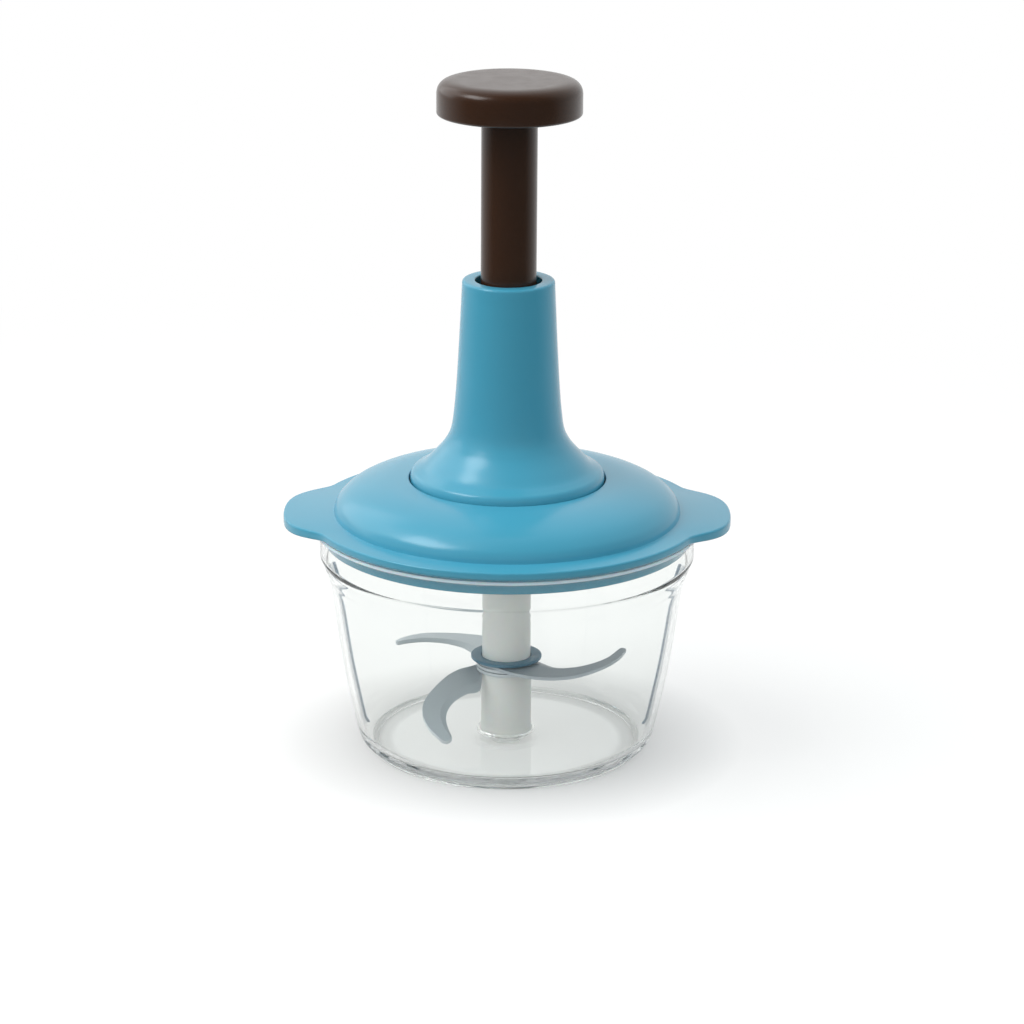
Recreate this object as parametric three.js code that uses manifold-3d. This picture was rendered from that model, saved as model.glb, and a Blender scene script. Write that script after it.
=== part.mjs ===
// Plunger food chopper: a clear bowl, a lid with a tall tower, and a push knob that spins three blades.
// Millimetres, +Z up. The origin is on the surface that the bowl stands on, at the centre of its foot.
import * as THREE from "three";
import { mergeVertices } from "three/addons/utils/BufferGeometryUtils.js";
import Module from "manifold-3d";

const wasm = await Module();
wasm.setup();

// Clearances and facets
const runGap = 0.3; // between pieces that turn, slide or rest on each other
const slipGap = 0.6; // between pieces that lift apart
const cutOverrun = 2;
const fuse = 0.8; // how far a rib or a boss runs into the wall that carries it
const mergeGap = 1e-4; // corners closer than this are one
const flatTolerance = 1e-3; // faces this near to flat are one
const bowlSides = 42;
const bodySides = 36;
const roundSides = 28;
const smallSides = 16;
const screwSides = 8;

// Bowl
const bowlHeight = 87.3;
const rimRadius = 72.2;
const rimLip = 1.4;
const rimFlare = 2.4; // how far the rim stands out from the band
const bandRadius = rimRadius - rimFlare; // the straight band under the rim
const bandHeight = 11.9;
const bandFootZ = bowlHeight - bandHeight;
const bandStep = 1.1;
const shoulderRadius = bandRadius - bandStep; // top of the drawn-in wall
const shoulderRise = 2.4; // slope between the wall and the band
const shoulderZ = bandFootZ - shoulderRise;
const wallFootRadius = 56.3;
const wallFootZ = 8;
const bowlWall = 2.1;
const bandWall = 1.5;
const footRadius = 51.1;
const footRingWidth = 2.4;
const floorTopZ = 3.8;
const floorFlatRadius = 47.3;
const floorUndersideZ = 1.7;
const heelRadius = 55.1; // turn of the wall into the foot
const heelZ = 3.6;
const bossRadius = 10.6; // raised disc that the blade shaft stands over
const bossFilletRadius = 15;
const bossTopZ = 4.5;
const bowlRibWidth = 1.4;
const bowlRibDepth = 1.5;
// outward and upward shares of the way from the wall's foot to the shoulder
const wallShares = [[0, 0], [0.161, 0.138], [0.397, 0.369], [0.57, 0.585], [0.741, 0.831],
  [0.853, 0.917], [0.966, 0.977], [1, 1]];
const floorTurnShare = 0.3; // height at which the floor's turn meets the wall's foot
const bowlRibFootShare = 0.12;
const bowlRibTopShare = 0.9;

// Pivot pin and its bush
const pinRadius = 3;
const pinTopZ = 40;
const pinHeadRadius = 6;
const pinHeadThickness = 1;
const pinHeadZ = 0.4;
const pinPointShare = 0.5; // width of the pin's point
const pivotBushWall = 1.6;
const pivotBushHeight = 10;

// Blade shaft, its lower sleeve and the blades
const shaftRadius = 9.1;
const shaftHeadGap = 1.3; // under the spindle's clip
const shaftCoreRadius = 6.3;
const shaftCoreFlat = 5.2; // half the distance across the core's two flats
const shaftFootZ = 5.2;
const sleeveRadius = 9.5;
const sleeveFlareRadius = 9.8;
const sleeveFlareHeight = 2.4;
const sleeveLipShare = 0.4; // straight part of the flare's height
const sleeveFootZ = bossTopZ + runGap;
const collarRadius = 13.3;
const collarTopZ = 34.6;
const collarThickness = 1.2;
const bladeThickness = 1.2;
const bladeRingRadius = 12.2;
const bladeEdgeThickness = 0.25;
const bladeReach = 45.5; // from the axis to the tips
const grindShare = 0.24; // width of the ground bevel, as a share of the blade's width
const bladeStations = 12;
const tipStations = 2;
const tipTurnShare = 0.833; // share of a quarter turn that the round tip makes
// each blade's plan, in shares of bladeReach: the blunt back and the cutting edge, root to tip
const middleBladeShares = {
  backShares: [[-0.14, -0.18], [0.038, -0.365], [0.29, -0.475], [0.545, -0.438], [0.78, -0.23],
    [0.925, -0.01], [0.998, 0.19]],
  cutShares: [[0.06, 0.14], [0.265, -0.05], [0.4, -0.185], [0.54, -0.18], [0.69, -0.105], [0.815, 0.02],
    [0.922, 0.225]],
};
const highBladeShares = {
  backShares: [[-0.02, 0.24], [-0.19, 0.66], [-0.368, 0.715], [-0.55, 0.668], [-0.7, 0.592],
    [-0.84, 0.455], [-0.92, 0.335]],
  cutShares: [[-0.18, -0.05], [-0.29, 0.25], [-0.4, 0.38], [-0.53, 0.43], [-0.665, 0.424], [-0.8, 0.365],
    [-0.895, 0.29]],
};
const lowBladeShares = {
  backShares: [[-0.15, 0.16], [-0.25, 0], [-0.375, -0.1], [-0.504, -0.2], [-0.648, -0.375],
    [-0.68, -0.5], [-0.625, -0.605], [-0.54, -0.665]],
  cutShares: [[-0.19, 0], [-0.213, -0.215], [-0.323, -0.272], [-0.418, -0.345], [-0.473, -0.423],
    [-0.488, -0.495], [-0.473, -0.555], [-0.45, -0.6]],
};
const highBladeRiseShare = 0.09; // rise per length beyond the bend
const highBladeAngle = 180; // degrees, the way that it rises
const lowBladeFallShare = 0.79; // fall per length beyond the bend
const lowBladeAngle = -74.16; // degrees, the way that it falls

// Lid
const lidWall = 2.4;
const flangeOverhang = 1.2; // past the bowl's rim
const flangeRadius = rimRadius + flangeOverhang;
const flangeWidth = 9; // level ring round the dome
const domeRadius = flangeRadius - flangeWidth;
const flangeLift = 0.7; // over the bowl's rim
const flangeUndersideZ = bowlHeight + flangeLift;
const flangeThickness = 3;
const flangeTopZ = flangeUndersideZ + flangeThickness;
const domeStep = 0.3; // fillet between the flange and the dome
const domeFootZ = flangeTopZ + domeStep;
const domeHeight = 12.9;
const domeTopZ = domeFootZ + domeHeight;
const recessDepth = 3.2; // the seat of the tower's bell foot
const recessFloorZ = domeTopZ - recessDepth;
const recessGap = 0.5; // round the bell's foot
const flangeRound = 0.8;
const earLength = 9.7; // past the flange
const earDrop = 0.9;
const earHalfAngle = 25.5; // degrees
const earPower = 1.95;
const skirtGap = 0.5; // inside the bowl's band
const skirtRadius = bandRadius - bandWall - skirtGap;
const skirtLength = 6.9;
const skirtFootZ = flangeUndersideZ - skirtLength;
const skirtWall = 2.2;
const domeShares = [[1, 0], [0.985, 0.16], [0.93, 0.36], [0.8, 0.6], [0.6, 0.79], [0.33, 0.93], [0, 1]];
const cupGap = 1.75; // round the return spring
const cupDepth = 14.4;
const cupFloorZ = recessFloorZ - cupDepth;
const cupFloor = 2.4;

// Gasket between the flange and the bowl's rim
const gasketInset = 0.5; // inside the rim's edge
const gasketOuterRadius = rimRadius - gasketInset;
const gasketWidth = 2.5;
const gasketInnerRadius = gasketOuterRadius - gasketWidth;
const gasketThickness = 1.4;
const gasketLift = 0.2; // over the rim

// Tower
const towerHeight = 75.8; // over the bell's edge
const towerTopRadius = 17;
const towerRound = 1;
const mouthGap = 2; // round the plunger tube
const bellRadius = 36;
const bellEdgeRise = 2.6; // over the floor of the lid's recess
const bellEdgeZ = recessFloorZ + bellEdgeRise;
const towerTopZ = bellEdgeZ + towerHeight;
const towerWall = 2.4;
const towerShares = [[1, 0], [0.985, 0.022], [0.91, 0.045], [0.75, 0.085], [0.59, 0.122], [0.44, 0.158],
  [0.32, 0.195], [0.215, 0.25], [0.16, 0.33], [0.11, 0.47], [0.055, 0.7], [0, 0.985]];
const lipDepth = 6.5; // straight bore under the tower's mouth
const guideRibBite = 1.5; // into the plunger's flange
const guideRibWidth = 3;
const guideRibCount = 4;
const guideRibAngle = 45; // degrees, from +X to the first rib
const guideRibSpread = 20.4; // over the bell's edge; below this the ribs widen into webs
const guideRibSpreadZ = bellEdgeZ + guideRibSpread;
const towerBossRadius = 3.6;
const towerBossPitchRadius = 27;
const towerScrewCount = 3;
const towerScrewAngle = 90; // degrees
const towerBossHeight = 16;

// Plunger
const knobRadius = 26.4;
const stroke = 55;
const knobRest = 6.1; // left over the tower's mouth when the knob is down
const knobUndersideZ = towerTopZ + stroke + knobRest;
const knobCrown = 2; // over the screw's tip
const knobTopRound = 3.7;
const knobFootRound = 0.9;
const knobHubWall = 3.1;
const knobRimWall = 3;
const knobPocketDepth = 5;
const knobRibCount = 6;
const knobRibWidth = 1.6;
const tubeRadius = 10.2;
const tubeBoreGap = 1.5; // round the twisted strip
const tubeSocketDepth = 5.7; // how deep the tube sits in the knob
const tubeWeb = 3; // closed top of the tube
const nutPocketRadius = 7.4;
const nutPocketFlat = 6.5;
const nutHeight = 8;
const nutSlotGap = 0.72; // what the slot is wider than the strip
const plungerFlangeHeight = 4;
const plungerFlangeRadius = 13.7;
const retainerHeight = 1.6;
const retainerWall = 1.8;
const bushRise = 11;

// Spindle
const rodWidth = 9;
const rodThickness = 2.6;
const rodLead = 38; // height of one full turn of the twist
const rodStepAngle = 15; // degrees
const headRadius = 8;
const headHeight = 4;
const journalRadius = 5;
const dogFlat = 4.2; // half the distance across the flats
const dogLength = 14.5;
const clipGap = 0.5; // under the bearing's flange
const clipThickness = 0.9;
const clipRadius = 6.8;
const clipGroove = 0.9;
const clipMouthAngle = 40; // degrees
const washerThickness = 0.8;
const bearingWall = 1.3;
const bearingFlangeRadius = 8.6;
const bearingFlangeThickness = 1.2;

// Return spring and its seat
const springMeanRadius = 9.9;
const springWireRadius = 0.65;
const springTurns = 9.5;
const springStepsPerTurn = 8;
const springSides = 5;
const seatThickness = 1.2;
const seatInnerRadius = 8.9;

// Plate that closes the lid from below
const plateTopZ = cupFloorZ - cupFloor - slipGap;
const plateThickness = 2;
const guideCollarWall = 2;
const guideCollarDrop = 9.6;
const plateScrewCount = 4;
const plateScrewAngle = 45; // degrees
const plateBossRadius = 3.4;
const plateBossPitchRadius = 45;
const plateScrewGrip = 9;

// Screws
const screwShankRadius = 1.4;
const screwHeadRadius = 2.8;
const screwHeadHeight = 1.7;
const screwFaceShare = 0.7; // flat of the head's face
const screwCrownShare = 0.4; // rounded part of the head's height
const towerScrewGrip = 8;
const knobScrewGrip = 5;

// Worked-out radii and levels
const recessRadius = bellRadius + recessGap;
const cupRadius = springMeanRadius + springWireRadius + cupGap;
const towerHoleRadius = tubeRadius + mouthGap;
const guideRibInnerRadius = plungerFlangeRadius - guideRibBite;
const knobPocketInnerRadius = tubeRadius + runGap + knobHubWall;
const knobPocketOuterRadius = knobRadius - knobRimWall;
const tubeBoreRadius = 0.5 * rodWidth + tubeBoreGap;
const collarFootZ = collarTopZ - collarThickness;
const stackStep = bladeThickness + runGap;
const middleBladeTopZ = collarFootZ - runGap;
const highBladeTopZ = middleBladeTopZ - stackStep;
const lowBladeTopZ = highBladeTopZ - stackStep;
const sleeveTopZ = lowBladeTopZ - stackStep;
const recessUndersideZ = recessFloorZ - lidWall;
const bellFootZ = recessFloorZ + runGap;
const guideBoreRadius = plungerFlangeRadius + runGap;
const seatZ = towerTopZ - lipDepth; // underside of the lip, over the guide bush
const bushTopZ = seatZ - runGap;
const bushFootZ = bushTopZ - bushRise;
const guideRibTopZ = bushFootZ - runGap;
const plungerFootZ = bushFootZ - slipGap - plungerFlangeHeight;
const headFootZ = cupFloorZ + runGap + washerThickness + runGap;
const headTopZ = headFootZ + headHeight;
const rodFootZ = headFootZ + runGap;
const rodTwistZ = headTopZ + runGap;
const rodTopZ = bushTopZ - slipGap;
const bearingTopZ = cupFloorZ - cupFloor - runGap; // top of the bearing's flange
const bearingFootZ = bearingTopZ - bearingFlangeThickness;
const clipZ = bearingFootZ - clipGap - clipThickness;
const dogTopZ = clipZ - runGap;
const dogFootZ = dogTopZ - dogLength;
const shaftTopZ = clipZ - shaftHeadGap;
const springFootZ = cupFloorZ + runGap + seatThickness + runGap;
const springTopZ = plungerFootZ - runGap;
const nutFootZ = plungerFootZ + retainerHeight + runGap;
const nutTopZ = nutFootZ + nutHeight;
const nutRadius = nutPocketRadius - runGap;
const nutFlat = nutPocketFlat - runGap;
const tubeTopZ = knobUndersideZ + tubeSocketDepth;
const tubeWebZ = tubeTopZ - tubeWeb;
const knobTopZ = tubeTopZ + knobScrewGrip + knobCrown;
const gasketFootZ = bowlHeight + gasketLift;
const grooveTopZ = gasketFootZ + gasketThickness + runGap;
const screwHoleRadius = screwShankRadius + runGap;

// A closed triangle mesh as a solid, with its shared corners merged.
function solidOf(geometry) {
  const bare = geometry.clone();
  bare.deleteAttribute("normal");
  bare.deleteAttribute("uv");
  const merged = mergeVertices(bare, mergeGap);
  const mesh = new wasm.Mesh({
    numProp: 3,
    vertProperties: new Float32Array(merged.attributes.position.array),
    triVerts: new Uint32Array(merged.index.array),
  });
  mesh.merge();
  return new wasm.Manifold(mesh);
}

function geometryOf(solid) {
  const mesh = solid.simplify(flatTolerance).getMesh();
  const geometry = new THREE.BufferGeometry();
  geometry.setAttribute("position", new THREE.BufferAttribute(new Float32Array(mesh.vertProperties), 3));
  geometry.setIndex(new THREE.BufferAttribute(new Uint32Array(mesh.triVerts), 1));
  geometry.computeVertexNormals();
  return geometry;
}

function joined(...solids) {
  return solids.reduce((sum, next) => sum.add(next));
}

// A profile of [radius, height] pairs turned about the vertical axis, read up its outer side.
function turned(profile, sides = roundSides) {
  const points = profile.map(([radius, height]) => new THREE.Vector2(radius, height));
  return solidOf(new THREE.LatheGeometry(points, sides).rotateX(Math.PI / 2));
}

// A round bar from one height to another.
function rod(radius, footZ, topZ, sides = smallSides) {
  return turned([[0, footZ], [radius, footZ], [radius, topZ], [0, topZ]], sides);
}

// A round wall between two radii.
function ring(innerRadius, outerRadius, footZ, topZ, sides = smallSides) {
  const profile = [[innerRadius, footZ], [outerRadius, footZ], [outerRadius, topZ], [innerRadius, topZ]];
  return turned([...profile, profile[0]], sides);
}

// A box that is centred on the axis in plan.
function slab(width, depth, footZ, topZ) {
  const box = new THREE.BoxGeometry(width, depth, topZ - footZ);
  return solidOf(box.translate(0, 0, 0.5 * (footZ + topZ)));
}

// A bar with two flats, or its hole.
function flattedRod(radius, flat, footZ, topZ) {
  return rod(radius, footZ, topZ).intersect(slab(2 * flat, 2 * radius + cutOverrun, footZ, topZ));
}

// A six-sided bar, by half its distance across the flats.
function hexBar(flat, footZ, topZ) {
  return rod(flat / Math.cos(Math.PI / 6), footZ, topZ, 6);
}

// Copies of a solid, evenly spaced round the axis from a first angle.
function around(count, firstAngle, solid) {
  const step = 360 / count;
  return Array.from({ length: count }, (_, index) => solid.rotate([0, 0, firstAngle + index * step]));
}

// A skin over rings of corners. Capped, it is a bar; looped, its last ring meets its first.
function skinned(rings, looped = false) {
  const count = rings[0].length;
  const positions = rings.flat().flatMap((point) => [point.x, point.y, point.z]);
  const index = [];
  const spans = looped ? rings.length : rings.length - 1;
  for (let i = 0; i < spans; i += 1) {
    const here = i * count;
    const there = ((i + 1) % rings.length) * count;
    for (let j = 0; j < count; j += 1) {
      const next = (j + 1) % count;
      index.push(here + j, here + next, there + next);
      index.push(here + j, there + next, there + j);
    }
  }
  if (!looped) {
    const last = (rings.length - 1) * count;
    for (let j = 1; j < count - 1; j += 1) {
      index.push(0, j + 1, j);
      index.push(last, last + j, last + j + 1);
    }
  }
  if (signedVolume(positions, index) < 0) {
    index.reverse();
  }
  const geometry = new THREE.BufferGeometry();
  geometry.setAttribute("position", new THREE.Float32BufferAttribute(positions, 3));
  geometry.setIndex(index);
  return solidOf(geometry);
}

function signedVolume(positions, index) {
  const corner = (i) => new THREE.Vector3().fromArray(positions, 3 * index[i]);
  let sum = 0;
  for (let i = 0; i < index.length; i += 3) {
    sum += corner(i).dot(corner(i + 1).cross(corner(i + 2)));
  }
  return sum / 6;
}

// A curve through shares of the way between two [radius, height] ends.
function sharedCurve(shares, from, to) {
  const points = shares.map(([outward, upward]) => new THREE.Vector2(
    from[0] + outward * (to[0] - from[0]),
    from[1] + upward * (to[1] - from[1]),
  ));
  return new THREE.SplineCurve(points);
}

// The curve's points, moved square to it by a distance (positive is to the left of its run).
function offsetPoints(curve, count, distance) {
  return Array.from({ length: count + 1 }, (_, i) => {
    const point = curve.getPoint(i / count);
    const run = curve.getTangent(i / count);
    return [point.x - distance * run.y, point.y + distance * run.x];
  });
}

// A flat outline in the plane of the axis, [radius, height], given a width across that plane.
function finPlate(outline, width) {
  const shape = new THREE.Shape(outline.map(([radius, height]) => new THREE.Vector2(radius, height)));
  const plate = new THREE.ExtrudeGeometry(shape, { depth: width, bevelEnabled: false, steps: 1 });
  return solidOf(plate.translate(0, 0, -0.5 * width).rotateX(Math.PI / 2));
}

// Bowl: drawn-in wall, stepped band and rolled rim, standing on a foot ring.
function bowlSolid() {
  const wall = sharedCurve(wallShares, [wallFootRadius, wallFootZ], [shoulderRadius, shoulderZ]);
  const wallSteps = 6;
  const outside = offsetPoints(wall, wallSteps, 0);
  const inside = offsetPoints(wall, wallSteps, bowlWall).reverse();
  const bandInner = bandRadius - bandWall;
  const ringInner = footRadius - footRingWidth;
  const body = turned([
    [0, floorUndersideZ],
    [ringInner, floorUndersideZ],
    [ringInner, 0],
    [footRadius, 0],
    [heelRadius, heelZ],
    ...outside,
    [bandRadius, bandFootZ],
    [bandRadius, bowlHeight - 2 * rimLip],
    [rimRadius, bowlHeight - rimLip],
    [rimRadius, bowlHeight],
    [bandInner, bowlHeight],
    [bandInner, bandFootZ],
    ...inside,
    [0.5 * (floorFlatRadius + wallFootRadius), floorTopZ + floorTurnShare * (wallFootZ - floorTopZ)],
    [floorFlatRadius, floorTopZ],
    [bossFilletRadius, floorTopZ],
    [bossRadius, bossTopZ],
    [0, bossTopZ],
  ], bowlSides);
  const pinHole = rod(pinRadius + runGap, -cutOverrun, bossTopZ + cutOverrun);
  return joined(body, ...around(2, 0, bowlRib(wall))).subtract(pinHole);
}

// One of the two upright ribs inside the bowl. It runs out towards the floor.
function bowlRib(wall) {
  const steps = 5;
  const span = bowlRibTopShare - bowlRibFootShare;
  const at = (i, inward) => {
    const share = bowlRibFootShare + (span * i) / steps;
    const point = wall.getPoint(share);
    return [point.x - inward, point.y];
  };
  const face = Array.from({ length: steps + 1 }, (_, i) => at(i, bowlWall + (bowlRibDepth * i) / steps));
  const root = Array.from({ length: steps + 1 }, (_, i) => at(i, bowlWall - fuse)).reverse();
  return finPlate([...face, ...root], bowlRibWidth);
}

// Steel pin that the blades turn on, let into the bowl's floor from below.
function pivotPinSolid() {
  const point = pinPointShare * pinRadius;
  return turned([
    [0, pinHeadZ],
    [pinHeadRadius, pinHeadZ],
    [pinHeadRadius, pinHeadZ + pinHeadThickness],
    [pinRadius, pinHeadZ + pinHeadThickness],
    [pinRadius, pinTopZ - point],
    [point, pinTopZ],
    [0, pinTopZ],
  ], smallSides);
}

// Plain bush at the foot of the blade shaft, running on the pin.
function pivotBushSolid() {
  const bore = pinRadius + runGap;
  return ring(bore, bore + pivotBushWall, shaftFootZ, shaftFootZ + pivotBushHeight);
}

// Blade shaft: thick above the blades, a flatted core through them, a six-sided socket at the top.
function bladeShaftSolid() {
  const body = rod(shaftRadius, collarFootZ, shaftTopZ, roundSides);
  const core = flattedRod(shaftCoreRadius, shaftCoreFlat, shaftFootZ, collarFootZ + fuse);
  const pinBore = pinRadius + runGap;
  const bushBore = pinBore + pivotBushWall + runGap;
  return body.add(core)
    .subtract(rod(pinBore, shaftFootZ - cutOverrun, pinTopZ + slipGap))
    .subtract(rod(bushBore, shaftFootZ - cutOverrun, shaftFootZ + pivotBushHeight + runGap))
    .subtract(hexBar(dogFlat + runGap, dogFootZ - slipGap, shaftTopZ + cutOverrun));
}

// Sleeve that clamps the blades up against the collar, with a flared foot.
function shaftSleeveSolid() {
  const body = turned([
    [0, sleeveFootZ],
    [sleeveFlareRadius, sleeveFootZ],
    [sleeveFlareRadius, sleeveFootZ + sleeveLipShare * sleeveFlareHeight],
    [sleeveRadius, sleeveFootZ + sleeveFlareHeight],
    [sleeveRadius, sleeveTopZ],
    [0, sleeveTopZ],
  ]);
  return body.subtract(coreHole(sleeveFootZ, sleeveTopZ));
}

function coreHole(footZ, topZ) {
  return flattedRod(shaftCoreRadius + runGap, shaftCoreFlat + runGap, footZ - cutOverrun, topZ + cutOverrun);
}

// Collar over the blades. The thick shaft stands in its shallow seat.
function bladeCollarSolid() {
  const bore = shaftRadius + runGap;
  return ring(bore, collarRadius, collarFootZ, collarTopZ, roundSides);
}

// Points on the two edges of a sickle's plan, station by station, closed by a round tip.
function sickleEdges(plan) {
  const [back, cut] = [plan.backShares, plan.cutShares].map((shares) => new THREE.SplineCurve(
    shares.map(([x, y]) => new THREE.Vector2(x * bladeReach, y * bladeReach)),
  ));
  const pairs = [];
  for (let i = 0; i <= bladeStations; i += 1) {
    pairs.push([back.getPoint(i / bladeStations), cut.getPoint(i / bladeStations)]);
  }
  const [backEnd, cutEnd] = pairs[bladeStations];
  const middle = backEnd.clone().lerp(cutEnd, 0.5);
  const half = backEnd.clone().sub(middle);
  const run = back.getTangent(1).add(cut.getTangent(1)).setLength(half.length());
  for (let i = 1; i <= tipStations; i += 1) {
    const turn = (0.5 * Math.PI * tipTurnShare * i) / tipStations;
    const ahead = middle.clone().addScaledVector(run, Math.sin(turn));
    pairs.push([1, -1].map((side) => ahead.clone().addScaledVector(half, side * Math.cos(turn))));
  }
  return pairs;
}

// A sickle blade: a keyed ring and an arm between a blunt back and a ground cutting edge.
function bladeSolid(plan, topZ, bend) {
  const footZ = topZ - bladeThickness;
  const lift = (point) => bend.rise * Math.max(0, point.dot(bend.run) - bend.start);
  const corner = (point, z) => new THREE.Vector3(point.x, point.y, z + lift(point));
  const rings = sickleEdges(plan).map(([back, cut]) => {
    const grind = cut.clone().lerp(back, grindShare);
    return [
      corner(back, footZ),
      corner(back, topZ),
      corner(grind, topZ),
      corner(cut, footZ + bladeEdgeThickness),
      corner(cut, footZ),
    ];
  });
  const arm = skinned(rings).subtract(rod(sleeveRadius + runGap, footZ - bladeReach, topZ + bladeReach));
  return arm.add(rod(bladeRingRadius, footZ, topZ, roundSides)).subtract(coreHole(footZ, topZ));
}

// How a blade bends: its rise per length, the way it runs in plan, and how far out the bend starts.
function bladeBend(rise, angle, start) {
  const turn = THREE.MathUtils.degToRad(angle);
  return { rise, run: new THREE.Vector2(Math.cos(turn), Math.sin(turn)), start };
}

const flatBend = bladeBend(0, 0, 0);
const highBend = bladeBend(highBladeRiseShare, highBladeAngle, bladeRingRadius);
const lowBend = bladeBend(-lowBladeFallShare, lowBladeAngle, 0);

// How far an ear carries the flange's edge out at an angle.
function earSwell(angle) {
  const fromEar = Math.abs(Math.asin(Math.sin(angle))) / THREE.MathUtils.degToRad(earHalfAngle);
  return fromEar < 1 ? earLength * Math.cos(0.5 * Math.PI * fromEar ** earPower) ** 2 : 0;
}

// Stations round the lid. The extra ones shape the ears and lie on the chords of the round parts.
function lidStations() {
  const step = (2 * Math.PI) / bodySides;
  const stations = [];
  for (let i = 0; i < bodySides; i += 1) {
    const middle = (i + 0.5) * step;
    stations.push({ angle: i * step, chord: 1 });
    if (earSwell(middle) > flangeRound) {
      stations.push({ angle: middle, chord: Math.cos(0.5 * step) });
    }
  }
  return stations;
}

// Lid shell: recess for the tower, dome, flange with two ears, gasket groove, skirt and spring cup.
function lidShellSolid() {
  const dome = sharedCurve(domeShares, [recessRadius, domeFootZ], [domeRadius, domeTopZ]);
  const domeSteps = 5;
  const domeOutside = offsetPoints(dome, domeSteps, 0).reverse();
  const domeInside = offsetPoints(dome, domeSteps, lidWall).slice(1);
  const spindleHole = journalRadius + runGap + bearingWall + runGap;
  const rings = [];
  for (const { angle, chord } of lidStations()) {
    const swell = earSwell(angle);
    const edge = flangeRadius + swell / chord;
    const drop = (earDrop * swell) / earLength;
    const section = [
      [cupRadius, cupFloorZ],
      [cupRadius, recessFloorZ],
      [recessRadius, recessFloorZ],
      ...domeOutside,
      [domeRadius + flangeRound, flangeTopZ],
      [edge - flangeRound, flangeTopZ],
      [edge, flangeTopZ - flangeRound],
      [edge, flangeUndersideZ - drop + flangeRound],
      [edge - flangeRound, flangeUndersideZ - drop],
      [gasketOuterRadius + runGap, flangeUndersideZ],
      [gasketOuterRadius + runGap, grooveTopZ],
      [gasketInnerRadius - runGap, grooveTopZ],
      [gasketInnerRadius - runGap, flangeUndersideZ],
      [skirtRadius, flangeUndersideZ],
      [skirtRadius, skirtFootZ],
      [skirtRadius - skirtWall, skirtFootZ],
      [skirtRadius - skirtWall, flangeUndersideZ],
      ...domeInside,
      [recessRadius + lidWall, recessUndersideZ],
      [cupRadius + cupFloor, recessUndersideZ],
      [cupRadius + cupFloor, cupFloorZ - cupFloor],
      [spindleHole, cupFloorZ - cupFloor],
      [spindleHole, cupFloorZ],
    ];
    const [cos, sin] = [chord * Math.cos(angle), chord * Math.sin(angle)];
    rings.push(section.map(([radius, height]) => new THREE.Vector3(radius * cos, radius * sin, height)));
  }
  const shell = skinned(rings, true);
  const bossFootZ = plateTopZ + runGap;
  const boss = rod(plateBossRadius, bossFootZ, domeTopZ - lidWall + 0.5 * fuse, screwSides)
    .translate([plateBossPitchRadius, 0, 0]);
  const pilot = rod(screwHoleRadius, bossFootZ - cutOverrun, bossFootZ + plateScrewGrip + runGap, screwSides)
    .translate([plateBossPitchRadius, 0, 0]);
  const towerHole = rod(screwHoleRadius, recessUndersideZ - cutOverrun, recessFloorZ + cutOverrun, screwSides)
    .translate([towerBossPitchRadius, 0, 0]);
  return joined(shell, ...around(plateScrewCount, plateScrewAngle, boss))
    .subtract(joined(...around(plateScrewCount, plateScrewAngle, pilot)))
    .subtract(joined(...around(towerScrewCount, towerScrewAngle, towerHole)));
}

// Soft ring in the groove under the flange.
function lidGasketSolid() {
  return ring(gasketInnerRadius, gasketOuterRadius, gasketFootZ, gasketFootZ + gasketThickness, bodySides);
}

// Plate that closes the lid from below. Its collar steadies the top of the blade shaft.
function lidInnerPlateSolid() {
  const collarBore = shaftRadius + slipGap;
  const collarOuter = collarBore + guideCollarWall;
  const plateFootZ = plateTopZ - plateThickness;
  const edge = skirtRadius - skirtWall - runGap;
  const body = turned([
    [collarBore, plateFootZ - guideCollarDrop],
    [collarOuter, plateFootZ - guideCollarDrop],
    [collarOuter, plateFootZ],
    [edge, plateFootZ],
    [edge, plateTopZ],
    [collarBore, plateTopZ],
    [collarBore, plateFootZ - guideCollarDrop],
  ], bodySides);
  const hole = rod(screwHoleRadius, plateFootZ - cutOverrun, plateTopZ + cutOverrun, screwSides)
    .translate([plateBossPitchRadius, 0, 0]);
  return body.subtract(joined(...around(plateScrewCount, plateScrewAngle, hole)));
}

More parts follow.
